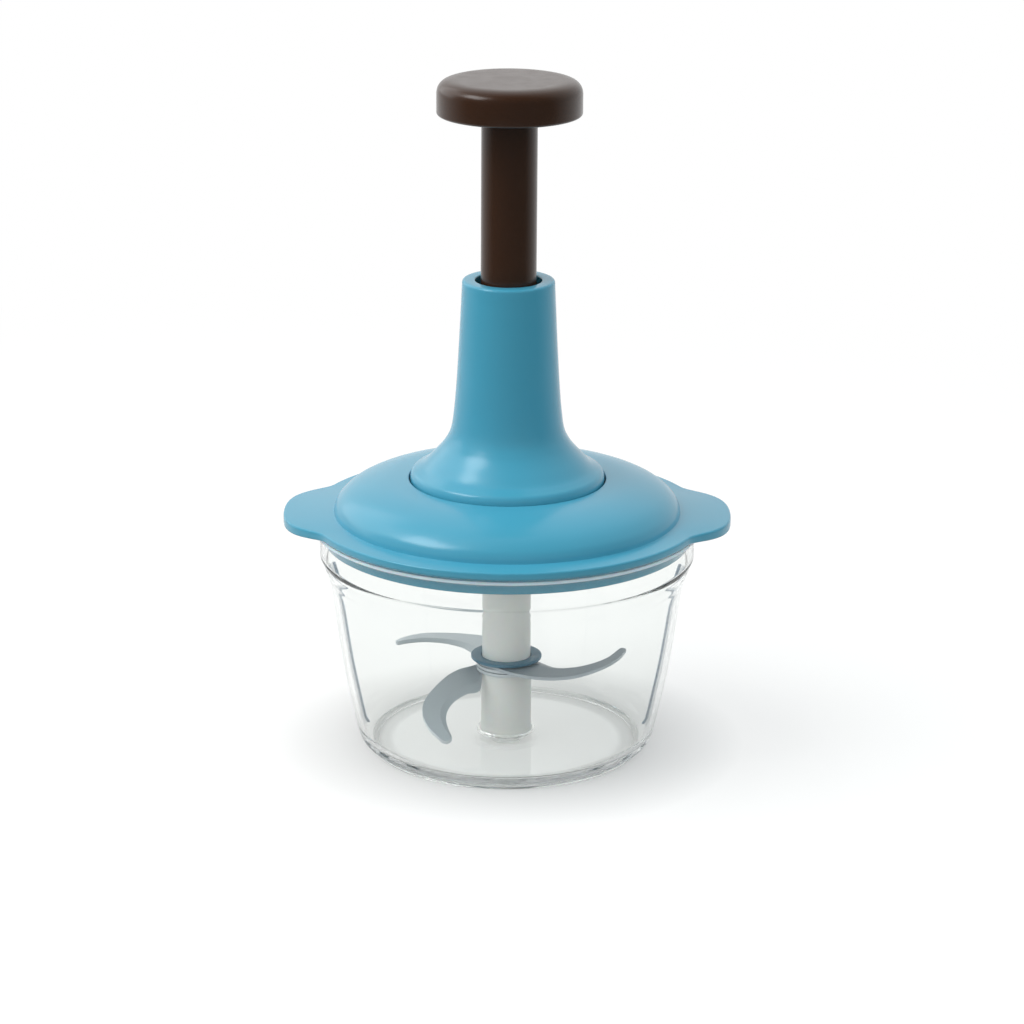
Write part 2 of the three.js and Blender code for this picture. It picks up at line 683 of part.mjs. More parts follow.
// Tower: a tapering hollow column that flares into a bell, ribbed inside to guide the plunger.
function towerSolid() {
  const flare = sharedCurve(towerShares, [towerTopRadius, bellEdgeZ], [bellRadius, towerTopZ]);
  const flareSteps = 10;
  const outside = offsetPoints(flare, flareSteps, 0);
  const inside = offsetPoints(flare, flareSteps, towerWall).reverse()
    .filter(([, height]) => height < guideRibTopZ && height > bellEdgeZ);
  const shellOutside = [
    [bellRadius, bellFootZ],
    ...outside,
    [towerTopRadius - towerRound, towerTopZ],
  ];
  const shell = turned([
    ...shellOutside,
    [towerHoleRadius, towerTopZ],
    [towerHoleRadius, seatZ],
    [guideBoreRadius, seatZ],
    [guideBoreRadius, guideRibTopZ],
    [inside[0][0], guideRibTopZ],
    ...inside,
    [bellRadius - towerWall, bellFootZ],
    [bellRadius, bellFootZ],
  ]);
  const envelope = turned([[0, bellFootZ], ...shellOutside, [0, towerTopZ]]);
  const rib = finPlate([
    [guideRibInnerRadius, bellFootZ],
    [towerTopRadius + towerWall, bellFootZ],
    [bellRadius - towerWall, bellEdgeZ + 2 * towerWall],
    [bellRadius - towerWall, guideRibSpreadZ],
    [towerTopRadius, guideRibTopZ],
    [guideRibInnerRadius, guideRibTopZ],
  ], guideRibWidth);
  const boss = rod(towerBossRadius, bellFootZ, bellFootZ + towerBossHeight, screwSides)
    .translate([towerBossPitchRadius, 0, 0]);
  const ribs = around(guideRibCount, guideRibAngle, rib);
  const bosses = around(towerScrewCount, towerScrewAngle, boss);
  const trimmed = joined(...ribs, ...bosses).intersect(envelope);
  const pilotTopZ = bellFootZ + towerScrewGrip + runGap;
  const pilot = rod(screwHoleRadius, bellFootZ - cutOverrun, pilotTopZ, screwSides)
    .translate([towerBossPitchRadius, 0, 0]);
  return joined(shell, trimmed).subtract(joined(...around(towerScrewCount, towerScrewAngle, pilot)));
}

// Bush in the tower's mouth that the plunger tube slides in.
function guideBushSolid() {
  return ring(tubeRadius + runGap, guideBoreRadius - runGap, bushFootZ, bushTopZ, roundSides);
}

// Knob: a rounded disc, hollowed and ribbed underneath, with a socket for the tube.
function plungerKnobSolid() {
  const roundSteps = 4;
  const topArc = Array.from({ length: roundSteps + 1 }, (_, i) => {
    const turn = (0.5 * Math.PI * i) / roundSteps;
    const inset = knobTopRound * (1 - Math.cos(turn));
    return [knobRadius - inset, knobTopZ - knobTopRound * (1 - Math.sin(turn))];
  });
  const body = turned([
    [0, knobUndersideZ],
    [knobRadius - knobFootRound, knobUndersideZ],
    [knobRadius, knobUndersideZ + knobFootRound],
    ...topArc,
    [0, knobTopZ],
  ], roundSides);
  const pocketTopZ = knobUndersideZ + knobPocketDepth;
  const spoke = slab(2 * knobRadius, knobRibWidth, knobUndersideZ - cutOverrun, pocketTopZ + cutOverrun);
  const pocket = ring(knobPocketInnerRadius, knobPocketOuterRadius, knobUndersideZ - cutOverrun, pocketTopZ,
    roundSides).subtract(joined(...around(knobRibCount / 2, 0, spoke)));
  const socket = rod(tubeRadius + runGap, knobUndersideZ - cutOverrun, tubeTopZ + runGap);
  const screwHole = rod(screwHoleRadius, knobUndersideZ, tubeTopZ + knobScrewGrip, screwSides);
  return body.subtract(joined(pocket, socket, screwHole));
}

// Plunger tube: closed at the top by a web, with the nut's pocket and a notched flange at its foot.
function plungerTubeSolid() {
  const flangeTopZ = plungerFootZ + plungerFlangeHeight;
  const body = turned([
    [0, plungerFootZ],
    [plungerFlangeRadius, plungerFootZ],
    [plungerFlangeRadius, flangeTopZ],
    [tubeRadius, flangeTopZ],
    [tubeRadius, tubeTopZ],
    [0, tubeTopZ],
  ]);
  const pocket = flattedRod(nutPocketRadius, nutPocketFlat, plungerFootZ - cutOverrun, nutTopZ + runGap);
  const bore = rod(tubeBoreRadius, plungerFootZ, tubeWebZ);
  const screwHole = rod(screwHoleRadius, tubeWebZ - cutOverrun, tubeTopZ + cutOverrun, screwSides);
  const notch = slab(plungerFlangeRadius, guideRibWidth + 2 * runGap, plungerFootZ - cutOverrun,
    flangeTopZ + cutOverrun)
    .translate([guideRibInnerRadius - runGap + 0.5 * plungerFlangeRadius, 0, 0]);
  return body.subtract(joined(pocket, bore, screwHole, ...around(guideRibCount, guideRibAngle, notch)));
}

// Corners of the flat strip's section, turned by an angle. Its wide faces are split, to twist cleanly.
function stripSection(width, thickness, height, angle) {
  const faceParts = 3;
  const edge = 0.5 * thickness;
  const near = Array.from({ length: faceParts + 1 }, (_, i) => [width * (i / faceParts - 0.5), -edge]);
  const far = near.map(([x, y]) => [-x, -y]);
  const [cos, sin] = [Math.cos(angle), Math.sin(angle)];
  return [...near, ...far].map(([x, y]) => new THREE.Vector3(x * cos - y * sin, x * sin + y * cos, height));
}

function twistAt(height) {
  return (2 * Math.PI * Math.max(0, height - rodTwistZ)) / rodLead;
}

function twistedStrip(width, thickness, footZ, topZ, stepAngle) {
  const steps = Math.ceil((360 * (topZ - footZ)) / (rodLead * stepAngle));
  const heights = Array.from({ length: steps + 1 }, (_, i) => footZ + ((topZ - footZ) * i) / steps);
  return heights.map((height) => stripSection(width, thickness, height, twistAt(height)));
}

// Twisted steel strip that turns as the nut is pushed down it. Its straight foot stands in the head.
function helixRodSolid() {
  const foot = stripSection(rodWidth, rodThickness, rodFootZ, 0);
  return skinned([foot, ...twistedStrip(rodWidth, rodThickness, rodTwistZ, rodTopZ, rodStepAngle)]);
}

// Nut in the foot of the plunger tube. Its slot follows the strip's twist.
function driveNutSolid() {
  const slot = skinned(twistedStrip(rodWidth + nutSlotGap, rodThickness + nutSlotGap,
    nutFootZ - cutOverrun, nutTopZ + cutOverrun, 0.5 * rodStepAngle));
  return flattedRod(nutRadius, nutFlat, nutFootZ, nutTopZ).subtract(slot);
}

// Ring that holds the nut up in its pocket.
function nutRetainerSolid() {
  const body = flattedRod(nutRadius, nutFlat, plungerFootZ, plungerFootZ + retainerHeight);
  return body.subtract(rod(nutRadius - retainerWall, plungerFootZ - cutOverrun, nutTopZ));
}

// Spindle head: a flange that carries the strip, a journal through the bearing and a six-sided dog.
function driveDogSolid() {
  const clipFloorZ = clipZ - 0.5 * runGap;
  const clipRoofZ = clipZ + clipThickness + 0.5 * runGap;
  const groove = journalRadius - clipGroove;
  const body = turned([
    [0, dogTopZ - fuse],
    [groove, dogTopZ - fuse],
    [groove, clipRoofZ],
    [journalRadius, clipRoofZ],
    [journalRadius, headFootZ],
    [headRadius, headFootZ],
    [headRadius, headTopZ],
    [0, headTopZ],
  ], smallSides);
  const slotFootZ = rodFootZ - runGap;
  const slot = slab(rodWidth + 2 * runGap, rodThickness + 2 * runGap, slotFootZ, headTopZ + cutOverrun);
  const dog = hexBar(dogFlat, dogFootZ, Math.min(dogTopZ, clipFloorZ));
  return body.add(dog).subtract(slot);
}

// Open spring clip in the journal's groove, under the bearing.
function spindleClipSolid() {
  const bore = journalRadius - clipGroove + runGap;
  const mouth = solidOf(new THREE.BoxGeometry(2 * clipRadius, 2 * bore * Math.sin(
    THREE.MathUtils.degToRad(clipMouthAngle)), 2 * clipThickness).translate(clipRadius, 0, clipZ));
  return ring(bore, clipRadius, clipZ, clipZ + clipThickness).subtract(mouth);
}

// Flanged bearing bush in the floor of the spring cup, pushed in from below.
function bearingBushSolid() {
  const bore = journalRadius + runGap;
  return turned([
    [bore, bearingFootZ],
    [bearingFlangeRadius, bearingFootZ],
    [bearingFlangeRadius, bearingTopZ],
    [bore + bearingWall, bearingTopZ],
    [bore + bearingWall, cupFloorZ],
    [bore, cupFloorZ],
    [bore, bearingFootZ],
  ], smallSides);
}

// Washer that the spindle head turns on.
function thrustWasherSolid() {
  const footZ = cupFloorZ + runGap;
  return ring(journalRadius + runGap, headRadius, footZ, footZ + washerThickness);
}

// Ring that keeps the spring's foot central in the cup.
function springSeatSolid() {
  const footZ = cupFloorZ + runGap;
  return ring(seatInnerRadius, cupRadius - runGap, footZ, footZ + seatThickness);
}

// Return spring: one helix of round wire.
function returnSpringSolid() {
  const steps = Math.round(springTurns * springStepsPerTurn);
  const footZ = springFootZ + springWireRadius;
  const rise = springTopZ - springWireRadius - footZ;
  const rings = [];
  for (let i = 0; i <= steps; i += 1) {
    const turn = (2 * Math.PI * i) / springStepsPerTurn;
    const section = [];
    for (let j = 0; j < springSides; j += 1) {
      const round = (2 * Math.PI * j) / springSides;
      const radius = springMeanRadius + springWireRadius * Math.cos(round);
      const height = footZ + (rise * i) / steps + springWireRadius * Math.sin(round);
      section.push(new THREE.Vector3(radius * Math.cos(turn), radius * Math.sin(turn), height));
    }
    rings.push(section);
  }
  return skinned(rings);
}

// A screw that is driven upwards, by the level under its head's seat and how far its shank reaches.
function screwSolid(seatHeight, shankTopZ) {
  const headFootZ = seatHeight - screwHeadHeight;
  return turned([
    [0, headFootZ],
    [screwFaceShare * screwHeadRadius, headFootZ],
    [screwHeadRadius, headFootZ + screwCrownShare * screwHeadHeight],
    [screwHeadRadius, seatHeight],
    [screwShankRadius, seatHeight],
    [screwShankRadius, shankTopZ],
    [0, shankTopZ],
  ], screwSides);
}

// Finishes: colour, roughness and metalness
const finishes = {
  clearPlastic: [0xe6eeee, 0.08, 0],
  lidPlastic: [0x5fa5c3, 0.22, 0],
  knobPlastic: [0x3a2a22, 0.35, 0],
  shaftPlastic: [0xc4c8c3, 0.4, 0],
  bearingPlastic: [0xd8d4c8, 0.45, 0],
  platePlastic: [0xe9ecea, 0.4, 0],
  collarPlastic: [0x4f7388, 0.35, 0],
  gasketRubber: [0xdfe3e2, 0.7, 0],
  bladeSteel: [0x87929b, 0.3, 0.9],
  brightSteel: [0xb9bec2, 0.3, 1],
};

function finished(name, solid, finish) {
  const [color, roughness, metalness] = finishes[finish];
  const clear = finish === "clearPlastic";
  const material = new THREE.MeshStandardMaterial({
    color, roughness, metalness, transparent: clear, opacity: clear ? 0.3 : 1,
  });
  const mesh = new THREE.Mesh(geometryOf(solid), material);
  mesh.name = name;
  return mesh;
}

const group = new THREE.Group();
group.add(
  finished("bowl", bowlSolid(), "clearPlastic"),
  finished("pivot_pin", pivotPinSolid(), "brightSteel"),
  finished("pivot_bush", pivotBushSolid(), "bearingPlastic"),
  finished("blade_shaft", bladeShaftSolid(), "shaftPlastic"),
  finished("shaft_sleeve", shaftSleeveSolid(), "shaftPlastic"),
  finished("blade_collar", bladeCollarSolid(), "collarPlastic"),
  finished("blade_middle", bladeSolid(middleBladeShares, middleBladeTopZ, flatBend), "bladeSteel"),
  finished("blade_high", bladeSolid(highBladeShares, highBladeTopZ, highBend), "bladeSteel"),
  finished("blade_low", bladeSolid(lowBladeShares, lowBladeTopZ, lowBend), "bladeSteel"),
  finished("lid_shell", lidShellSolid(), "lidPlastic"),
  finished("lid_gasket", lidGasketSolid(), "gasketRubber"),
  finished("lid_inner_plate", lidInnerPlateSolid(), "platePlastic"),
  finished("tower", towerSolid(), "lidPlastic"),
  finished("guide_bush", guideBushSolid(), "knobPlastic"),
  finished("plunger_knob", plungerKnobSolid(), "knobPlastic"),
  finished("plunger_tube", plungerTubeSolid(), "knobPlastic"),
  finished("drive_nut", driveNutSolid(), "bearingPlastic"),
  finished("nut_retainer", nutRetainerSolid(), "brightSteel"),
  finished("knob_screw", screwSolid(tubeWebZ - runGap, tubeTopZ + knobScrewGrip - runGap), "brightSteel"),
  finished("helix_rod", helixRodSolid(), "brightSteel"),
  finished("drive_dog", driveDogSolid(), "brightSteel"),
  finished("spindle_clip", spindleClipSolid(), "brightSteel"),
  finished("bearing_bush", bearingBushSolid(), "bearingPlastic"),
  finished("thrust_washer", thrustWasherSolid(), "brightSteel"),
  finished("spring_seat", springSeatSolid(), "bearingPlastic"),
  finished("return_spring", returnSpringSolid(), "brightSteel"),
);

const towerScrew = screwSolid(recessUndersideZ - runGap, bellFootZ + towerScrewGrip)
  .translate([towerBossPitchRadius, 0, 0]);
around(towerScrewCount, towerScrewAngle, towerScrew).forEach((screw, index) => {
  group.add(finished(`tower_screw_${index + 1}`, screw, "brightSteel"));
});
const plateScrew = screwSolid(plateTopZ - plateThickness - runGap, plateTopZ + plateScrewGrip)
  .translate([plateBossPitchRadius, 0, 0]);
around(plateScrewCount, plateScrewAngle, plateScrew).forEach((screw, index) => {
  group.add(finished(`plate_screw_${index + 1}`, screw, "brightSteel"));
});

export default group;
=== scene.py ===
# Plunger food chopper: clear bowl, blue lid and tower, brown knob, steel sickle blades.
# Metres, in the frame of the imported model. The dictionaries give millimetres for the pieces and the
# camera, and metres for the floor and the lamps.
import math

import bmesh
import bpy
from mathutils import Matrix, Vector


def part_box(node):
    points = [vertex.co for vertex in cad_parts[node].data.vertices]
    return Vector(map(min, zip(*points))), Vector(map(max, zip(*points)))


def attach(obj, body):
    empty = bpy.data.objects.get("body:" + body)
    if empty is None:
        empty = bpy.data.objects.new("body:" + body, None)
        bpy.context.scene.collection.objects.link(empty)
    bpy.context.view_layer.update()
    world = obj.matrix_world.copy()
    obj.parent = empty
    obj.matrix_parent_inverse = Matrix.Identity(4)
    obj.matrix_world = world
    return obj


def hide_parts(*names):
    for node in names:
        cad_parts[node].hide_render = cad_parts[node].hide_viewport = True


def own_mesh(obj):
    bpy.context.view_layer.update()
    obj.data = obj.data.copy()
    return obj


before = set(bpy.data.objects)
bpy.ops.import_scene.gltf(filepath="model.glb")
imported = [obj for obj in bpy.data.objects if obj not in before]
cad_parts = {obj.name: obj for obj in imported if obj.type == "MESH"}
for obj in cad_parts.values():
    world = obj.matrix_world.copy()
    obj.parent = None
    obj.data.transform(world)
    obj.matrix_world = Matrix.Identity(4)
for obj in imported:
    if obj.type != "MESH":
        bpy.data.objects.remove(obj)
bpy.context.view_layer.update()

mm = 0.001
weldLength = 0.002 * mm
sliverLength = 0.001 * mm
roundingSegments = 5
noiseSpan = (0.3, 0.7)  # where most of a noise texture's values lie


# A wire outline of (radius, height[, corner rounding]) in mm, on the axis plane.
def wireOutline(points, closed):
    bm = bmesh.new()
    verts = [bm.verts.new((point[0] * mm, 0, point[1] * mm)) for point in points]
    for first, second in zip(verts, verts[1:]):
        bm.edges.new((first, second))
    if closed:
        bm.edges.new((verts[-1], verts[0]))
    for vert, point in zip(verts, points):
        if len(point) > 2:
            bmesh.ops.bevel(bm, geom=[vert], offset=point[2] * mm, offset_type="OFFSET",
                            affect="VERTICES", segments=roundingSegments, profile=0.5, material=-1)
    return bm


# The outline turned once round the axis.
def spun(points, steps, closed=False):
    bm = wireOutline(points, closed)
    bmesh.ops.spin(bm, geom=bm.verts[:] + bm.edges[:], cent=(0, 0, 0), axis=(0, 0, 1),
                   angle=math.tau, steps=steps, use_merge=True)
    return tidied(bm)


# Welded, without slivers, and with its faces turned outwards.
def tidied(bm):
    bmesh.ops.remove_doubles(bm, verts=bm.verts, dist=weldLength)
    bmesh.ops.dissolve_degenerate(bm, edges=bm.edges, dist=sliverLength)
    bmesh.ops.recalc_face_normals(bm, faces=bm.faces)
    return bm


# A block across the X axis, in mm.
def block(width, depth, footZ, topZ, middleX):
    bm = bmesh.new()
    size = Matrix.Diagonal((width * mm, depth * mm, (topZ - footZ) * mm, 1))
    place = Matrix.Translation((middleX * mm, 0, 0.5 * (footZ + topZ) * mm))
    bmesh.ops.create_cube(bm, size=1, matrix=place @ size)
    return bm


# An upright prism on the axis, in mm; with many sides it is a cylinder.
def prism(sides, radius, footZ, topZ):
    bm = bmesh.new()
    place = Matrix.Translation((0, 0, 0.5 * (footZ + topZ) * mm))
    bmesh.ops.create_cone(bm, cap_ends=True, segments=sides, radius1=radius * mm, radius2=radius * mm,
                          depth=(topZ - footZ) * mm, matrix=place)
    return bm


def turnedBy(bm, degrees):
    turn = Matrix.Rotation(math.radians(degrees), 4, "Z")
    bmesh.ops.transform(bm, matrix=turn, verts=bm.verts)
    return bm


# A copy of all faces, joined to them by walls. It gives the copy's corners, to be moved away.
def extrudedCopy(bm):
    made = bmesh.ops.extrude_face_region(bm, geom=bm.faces[:], use_keep_orig=True)
    return [item for item in made["geom"] if isinstance(item, bmesh.types.BMVert)]


def looseObject(bm, name="tool"):
    mesh = bpy.data.meshes.new(name)
    bm.to_mesh(mesh)
    bm.free()
    made = bpy.data.objects.new(name, mesh)
    bpy.context.scene.collection.objects.link(made)
    return made


# Joins a solid with others, or cuts it by them.
def combined(solid, tools, operation):
    base = looseObject(solid)
    others = [looseObject(tool) for tool in tools]
    for other in others:
        modifier = base.modifiers.new("step", "BOOLEAN")
        modifier.operation = operation
        modifier.solver = "EXACT"
        modifier.object = other
    done = base.evaluated_get(bpy.context.evaluated_depsgraph_get())
    result = bmesh.new()
    result.from_mesh(done.to_mesh())
    done.to_mesh_clear()
    for made in [base, *others]:
        bpy.data.objects.remove(made)
    bmesh.ops.remove_doubles(result, verts=result.verts, dist=weldLength)
    return result


# Finished piece: shaded smooth up to its sharp edges, riding on its body in place of its node.
def piece(bm, name, body, node, material, sharpAngle=40):
    for face in bm.faces:
        face.smooth = True
    for edge in bm.edges:
        edge.smooth = edge.calc_face_angle(0) < math.radians(sharpAngle)
    made = looseObject(bm, name)
    made.data.materials.append(material)
    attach(made, body)
    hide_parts(node)
    print("made", name, len(made.data.polygons), "faces")
    return made


# Points along a smooth curve through the given shares of the way between two (radius, height) ends.
def sharedCurve(shares, start, end, steps):
    knots = [Vector((start[0] + a * (end[0] - start[0]), start[1] + b * (end[1] - start[1])))
             for a, b in shares]
    points = []
    for step in range(steps + 1):
        at = (len(knots) - 1) * step / steps
        index = min(int(at), len(knots) - 2)
        t = at - index
        p0, p1, p2, p3 = (knots[max(0, min(len(knots) - 1, index + k))] for k in (-1, 0, 1, 2))
        rise, sag = (p2 - p0) / 2, (p3 - p1) / 2
        points.append((2 * p1 - 2 * p2 + rise + sag) * t ** 3
                      + (3 * p2 - 3 * p1 - 2 * rise - sag) * t ** 2 + rise * t + p1)
    return points


# The curve moved square to itself, to the left of its run.
def offsetCurve(points, distance):
    moved = []
    for index, point in enumerate(points):
        run = points[min(index + 1, len(points) - 1)] - points[max(index - 1, 0)]
        run.normalize()
        moved.append(point + distance * Vector((-run.y, run.x)))
    return moved


def linearColour(text):
    channels = [int(text[start:start + 2], 16) / 255 for start in (0, 2, 4)]
    return [c / 12.92 if c <= 0.04045 else ((c + 0.055) / 1.055) ** 2.4 for c in channels] + [1]


def newMaterial(name):
    material = bpy.data.materials.new(name)
    material.use_nodes = True
    material.node_tree.nodes.clear()
    return material


# Adds a node; inputs are values, or sockets to link from.
def addNode(owner, kind, inputs=None, **settings):
    node = owner.node_tree.nodes.new(kind)
    for name, value in settings.items():
        setattr(node, name, value)
    for name, value in (inputs or {}).items():
        if isinstance(value, bpy.types.NodeSocket):
            owner.node_tree.links.new(value, node.inputs[name])
        else:
            node.inputs[name].default_value = value
    return node


def perMetre(sizeMm):
    return 1 / (sizeMm * mm)


# Injection-moulded plastic: even colour with faint flow clouds, a tool polish that varies, orange peel.
def mouldedPlastic(name, look):
    material = newMaterial(name)
    place = addNode(material, "ShaderNodeTexCoord").outputs["Object"]
    clouds = addNode(material, "ShaderNodeTexNoise", {
        "Vector": place, "Scale": perMetre(look["cloudMm"]), "Detail": 2.0})
    tone = addNode(material, "ShaderNodeMix", {
        0: clouds.outputs[0], 6: linearColour(look["colour"]), 7: linearColour(look["shade"])},
        data_type="RGBA")
    polish = addNode(material, "ShaderNodeTexNoise", {
        "Vector": place, "Scale": perMetre(look["polishMm"]), "Detail": 3.0})
    rough = addNode(material, "ShaderNodeMapRange", {
        "Value": polish.outputs[0], "From Min": noiseSpan[0], "From Max": noiseSpan[1],
        "To Min": look["roughness"][0], "To Max": look["roughness"][1]})
    peel = addNode(material, "ShaderNodeTexNoise", {
        "Vector": place, "Scale": perMetre(look["peelMm"]), "Detail": 2.0})
    bump = addNode(material, "ShaderNodeBump", {
        "Height": peel.outputs[0], "Strength": look["peelStrength"],
        "Distance": look["peelHeightMm"] * mm})
    shader = addNode(material, "ShaderNodeBsdfPrincipled", {
        "Base Color": tone.outputs[2], "Roughness": rough.outputs[0], "Normal": bump.outputs[0],
        "IOR": look["ior"], "Specular IOR Level": look["specular"],
        "Subsurface Weight": look.get("translucence", 0.0),
        "Subsurface Scale": look.get("depthMm", 1.0) * mm})
    addNode(material, "ShaderNodeOutputMaterial", {"Surface": shader.outputs[0]})
    return material


# ABS, moulded in a polished tool: an even glossy skin with soft-edged highlights.
lidAbs = mouldedPlastic("polished blue ABS", {
    "colour": "459bb6", "shade": "4195b0", "cloudMm": 40, "polishMm": 9, "roughness": (0.21, 0.25),
    "peelMm": 1.6, "peelStrength": 0.1, "peelHeightMm": 0.01, "ior": 1.53, "specular": 0.7})

# ABS in dark brown, from a duller tool: broad, quiet highlights.
knobAbs = mouldedPlastic("satin brown ABS", {
    "colour": "382111", "shade": "321d0f", "cloudMm": 24, "polishMm": 5, "roughness": (0.22, 0.27),
    "peelMm": 1.1, "peelStrength": 0.1, "peelHeightMm": 0.012, "ior": 1.65, "specular": 0.5})

# Polypropylene, natural grey: satin, and it lets a little light in.
shaftPp = mouldedPlastic("satin grey polypropylene", {
    "colour": "f4f6f3", "shade": "eef1ed", "cloudMm": 18, "polishMm": 4, "roughness": (0.3, 0.4),
    "peelMm": 0.9, "peelStrength": 0.12, "peelHeightMm": 0.01, "ior": 1.49, "specular": 0.5,
    "translucence": 0.15, "depthMm": 2.0})

# Glass-filled nylon, dyed blue-grey: satin with a slightly grainy skin.
collarNylon = mouldedPlastic("blue-grey nylon", {
    "colour": "3d738b", "shade": "386c83", "cloudMm": 10, "polishMm": 2, "roughness": (0.3, 0.42),
    "peelMm": 0.5, "peelStrength": 0.2, "peelHeightMm": 0.01, "ior": 1.53, "specular": 0.5})

# Acetal, natural: waxy and low in gloss.
bushAcetal = mouldedPlastic("natural acetal", {
    "colour": "dcd8cc", "shade": "d4cfc1", "cloudMm": 8, "polishMm": 2, "roughness": (0.35, 0.5),
    "peelMm": 0.6, "peelStrength": 0.15, "peelHeightMm": 0.008, "ior": 1.48, "specular": 0.5,
    "translucence": 0.1, "depthMm": 1.0})

# Polypropylene, white: satin from a spark-eroded tool.
platePp = mouldedPlastic("white polypropylene", {
    "colour": "e4e8e6", "shade": "dce0de", "cloudMm": 30, "polishMm": 6, "roughness": (0.34, 0.46),
    "peelMm": 0.7, "peelStrength": 0.2, "peelHeightMm": 0.012, "ior": 1.49, "specular": 0.5,
    "translucence": 0.1, "depthMm": 1.5})

# Silicone rubber: soft, dull, slightly milky.
gasketSilicone = mouldedPlastic("milky silicone", {
    "colour": "e6e9e8", "shade": "dde1e0", "cloudMm": 12, "polishMm": 3, "roughness": (0.5, 0.65),
    "peelMm": 0.8, "peelStrength": 0.15, "peelHeightMm": 0.01, "ior": 1.41, "specular": 0.4,
    "translucence": 0.2, "depthMm": 1.0})

# Pale, milky AS round the rim: a painted highlight, which stands in for the bright line along the rim's edge.
rimHighlightAs = mouldedPlastic("pale AS, painted rim highlight", {
    "colour": "d8ecf4", "shade": "d0e6ef", "cloudMm": 20, "polishMm": 2, "roughness": (0.3, 0.4),
    "peelMm": 0.6, "peelStrength": 0.15, "peelHeightMm": 0.008, "ior": 1.5, "specular": 0.5,
    "translucence": 0.3, "depthMm": 2.0})


# Styrene-acrylonitrile (AS), clear: polished, hard, its walls darken only where one looks along them.
# Lamps and diffuse light pass straight through, so that what stands inside isn't left in the dark.
def clearAs(name, look):
    material = newMaterial(name)
    place = addNode(material, "ShaderNodeTexCoord").outputs["Object"]
    waves = addNode(material, "ShaderNodeTexNoise", {
        "Vector": place, "Scale": perMetre(look["flowMm"]), "Detail": 1.0})
    bump = addNode(material, "ShaderNodeBump", {
        "Height": waves.outputs[0], "Strength": look["flowStrength"],
        "Distance": look["flowHeightMm"] * mm})
    glass = addNode(material, "ShaderNodeBsdfPrincipled", {
        "Base Color": linearColour(look["colour"]), "Roughness": look["roughness"],
        "Transmission Weight": 1.0, "IOR": look["ior"], "Normal": bump.outputs[0],
        "Coat Weight": look["skin"], "Coat IOR": look["skinIor"], "Coat Roughness": look["roughness"]})
    passing = addNode(material, "ShaderNodeBsdfTransparent", {"Color": linearColour(look["shadow"])})
    path = addNode(material, "ShaderNodeLightPath")
    lamplight = addNode(material, "ShaderNodeMath", {
        0: path.outputs["Is Shadow Ray"], 1: path.outputs["Is Diffuse Ray"]}, operation="MAXIMUM")
    mixed = addNode(material, "ShaderNodeMixShader", {
        0: lamplight.outputs[0], 1: glass.outputs[0], 2: passing.outputs[0]})
    tint = addNode(material, "ShaderNodeVolumeAbsorption", {
        "Color": linearColour(look["depthColour"]), "Density": look["density"]})
    addNode(material, "ShaderNodeOutputMaterial", {
        "Surface": mixed.outputs[0], "Volume": tint.outputs[0]})
    return material


# The bowl's wall bends light only weakly in the photograph, so its IOR is far below the plastic's 1.57,
# and a thin skin of 1.5 gives the reflections.
bowlAs = clearAs("clear AS", {
    "colour": "fbfcfb", "shadow": "fdfefe", "roughness": 0.01, "ior": 1.15, "skin": 0.35, "skinIor": 1.5,
    "flowMm": 28, "flowStrength": 0.05, "flowHeightMm": 0.02, "depthColour": "aab2b4", "density": 8})

# The same in the foot ring, whose thick section takes up the light that runs along in the floor; its
# absorption is set far above the wall's, as painted shade that darkens the ring to a grey band.
footShadeAs = clearAs("clear AS, thick section, painted shade", {
    "colour": "f4f6f5", "shadow": "a8acab", "roughness": 0.02, "ior": 1.15, "skin": 0.6, "skinIor": 1.5,
    "flowMm": 28, "flowStrength": 0.05, "flowHeightMm": 0.02, "depthColour": "a4aaac", "density": 60})

# The same with more of its sparkle, in the small ring round the shaft's foot.
wellAs = clearAs("clear AS, bright", {
    "colour": "fbfcfb", "shadow": "f4f6f6", "roughness": 0.02, "ior": 1.35, "skin": 0.6, "skinIor": 1.6,
    "flowMm": 6, "flowStrength": 0.05, "flowHeightMm": 0.02, "depthColour": "c8cdcd", "density": 20})

# Clear AS tinted blue through and through: a painted reflection of the blue lid above, which the ribs show.
ribLidReflectionAs = clearAs("clear AS, painted lid reflection", {
    "colour": "6593aa", "shadow": "c4d2d8", "roughness": 0.05, "ior": 1.12, "skin": 0.5, "skinIor": 1.5,
    "flowMm": 6, "flowStrength": 0.1, "flowHeightMm": 0.02, "depthColour": "3f7896", "density": 900})


sidewaysSpan = (0.3, 0.6)  # upward share of the facing, from the edge's tone to the face's
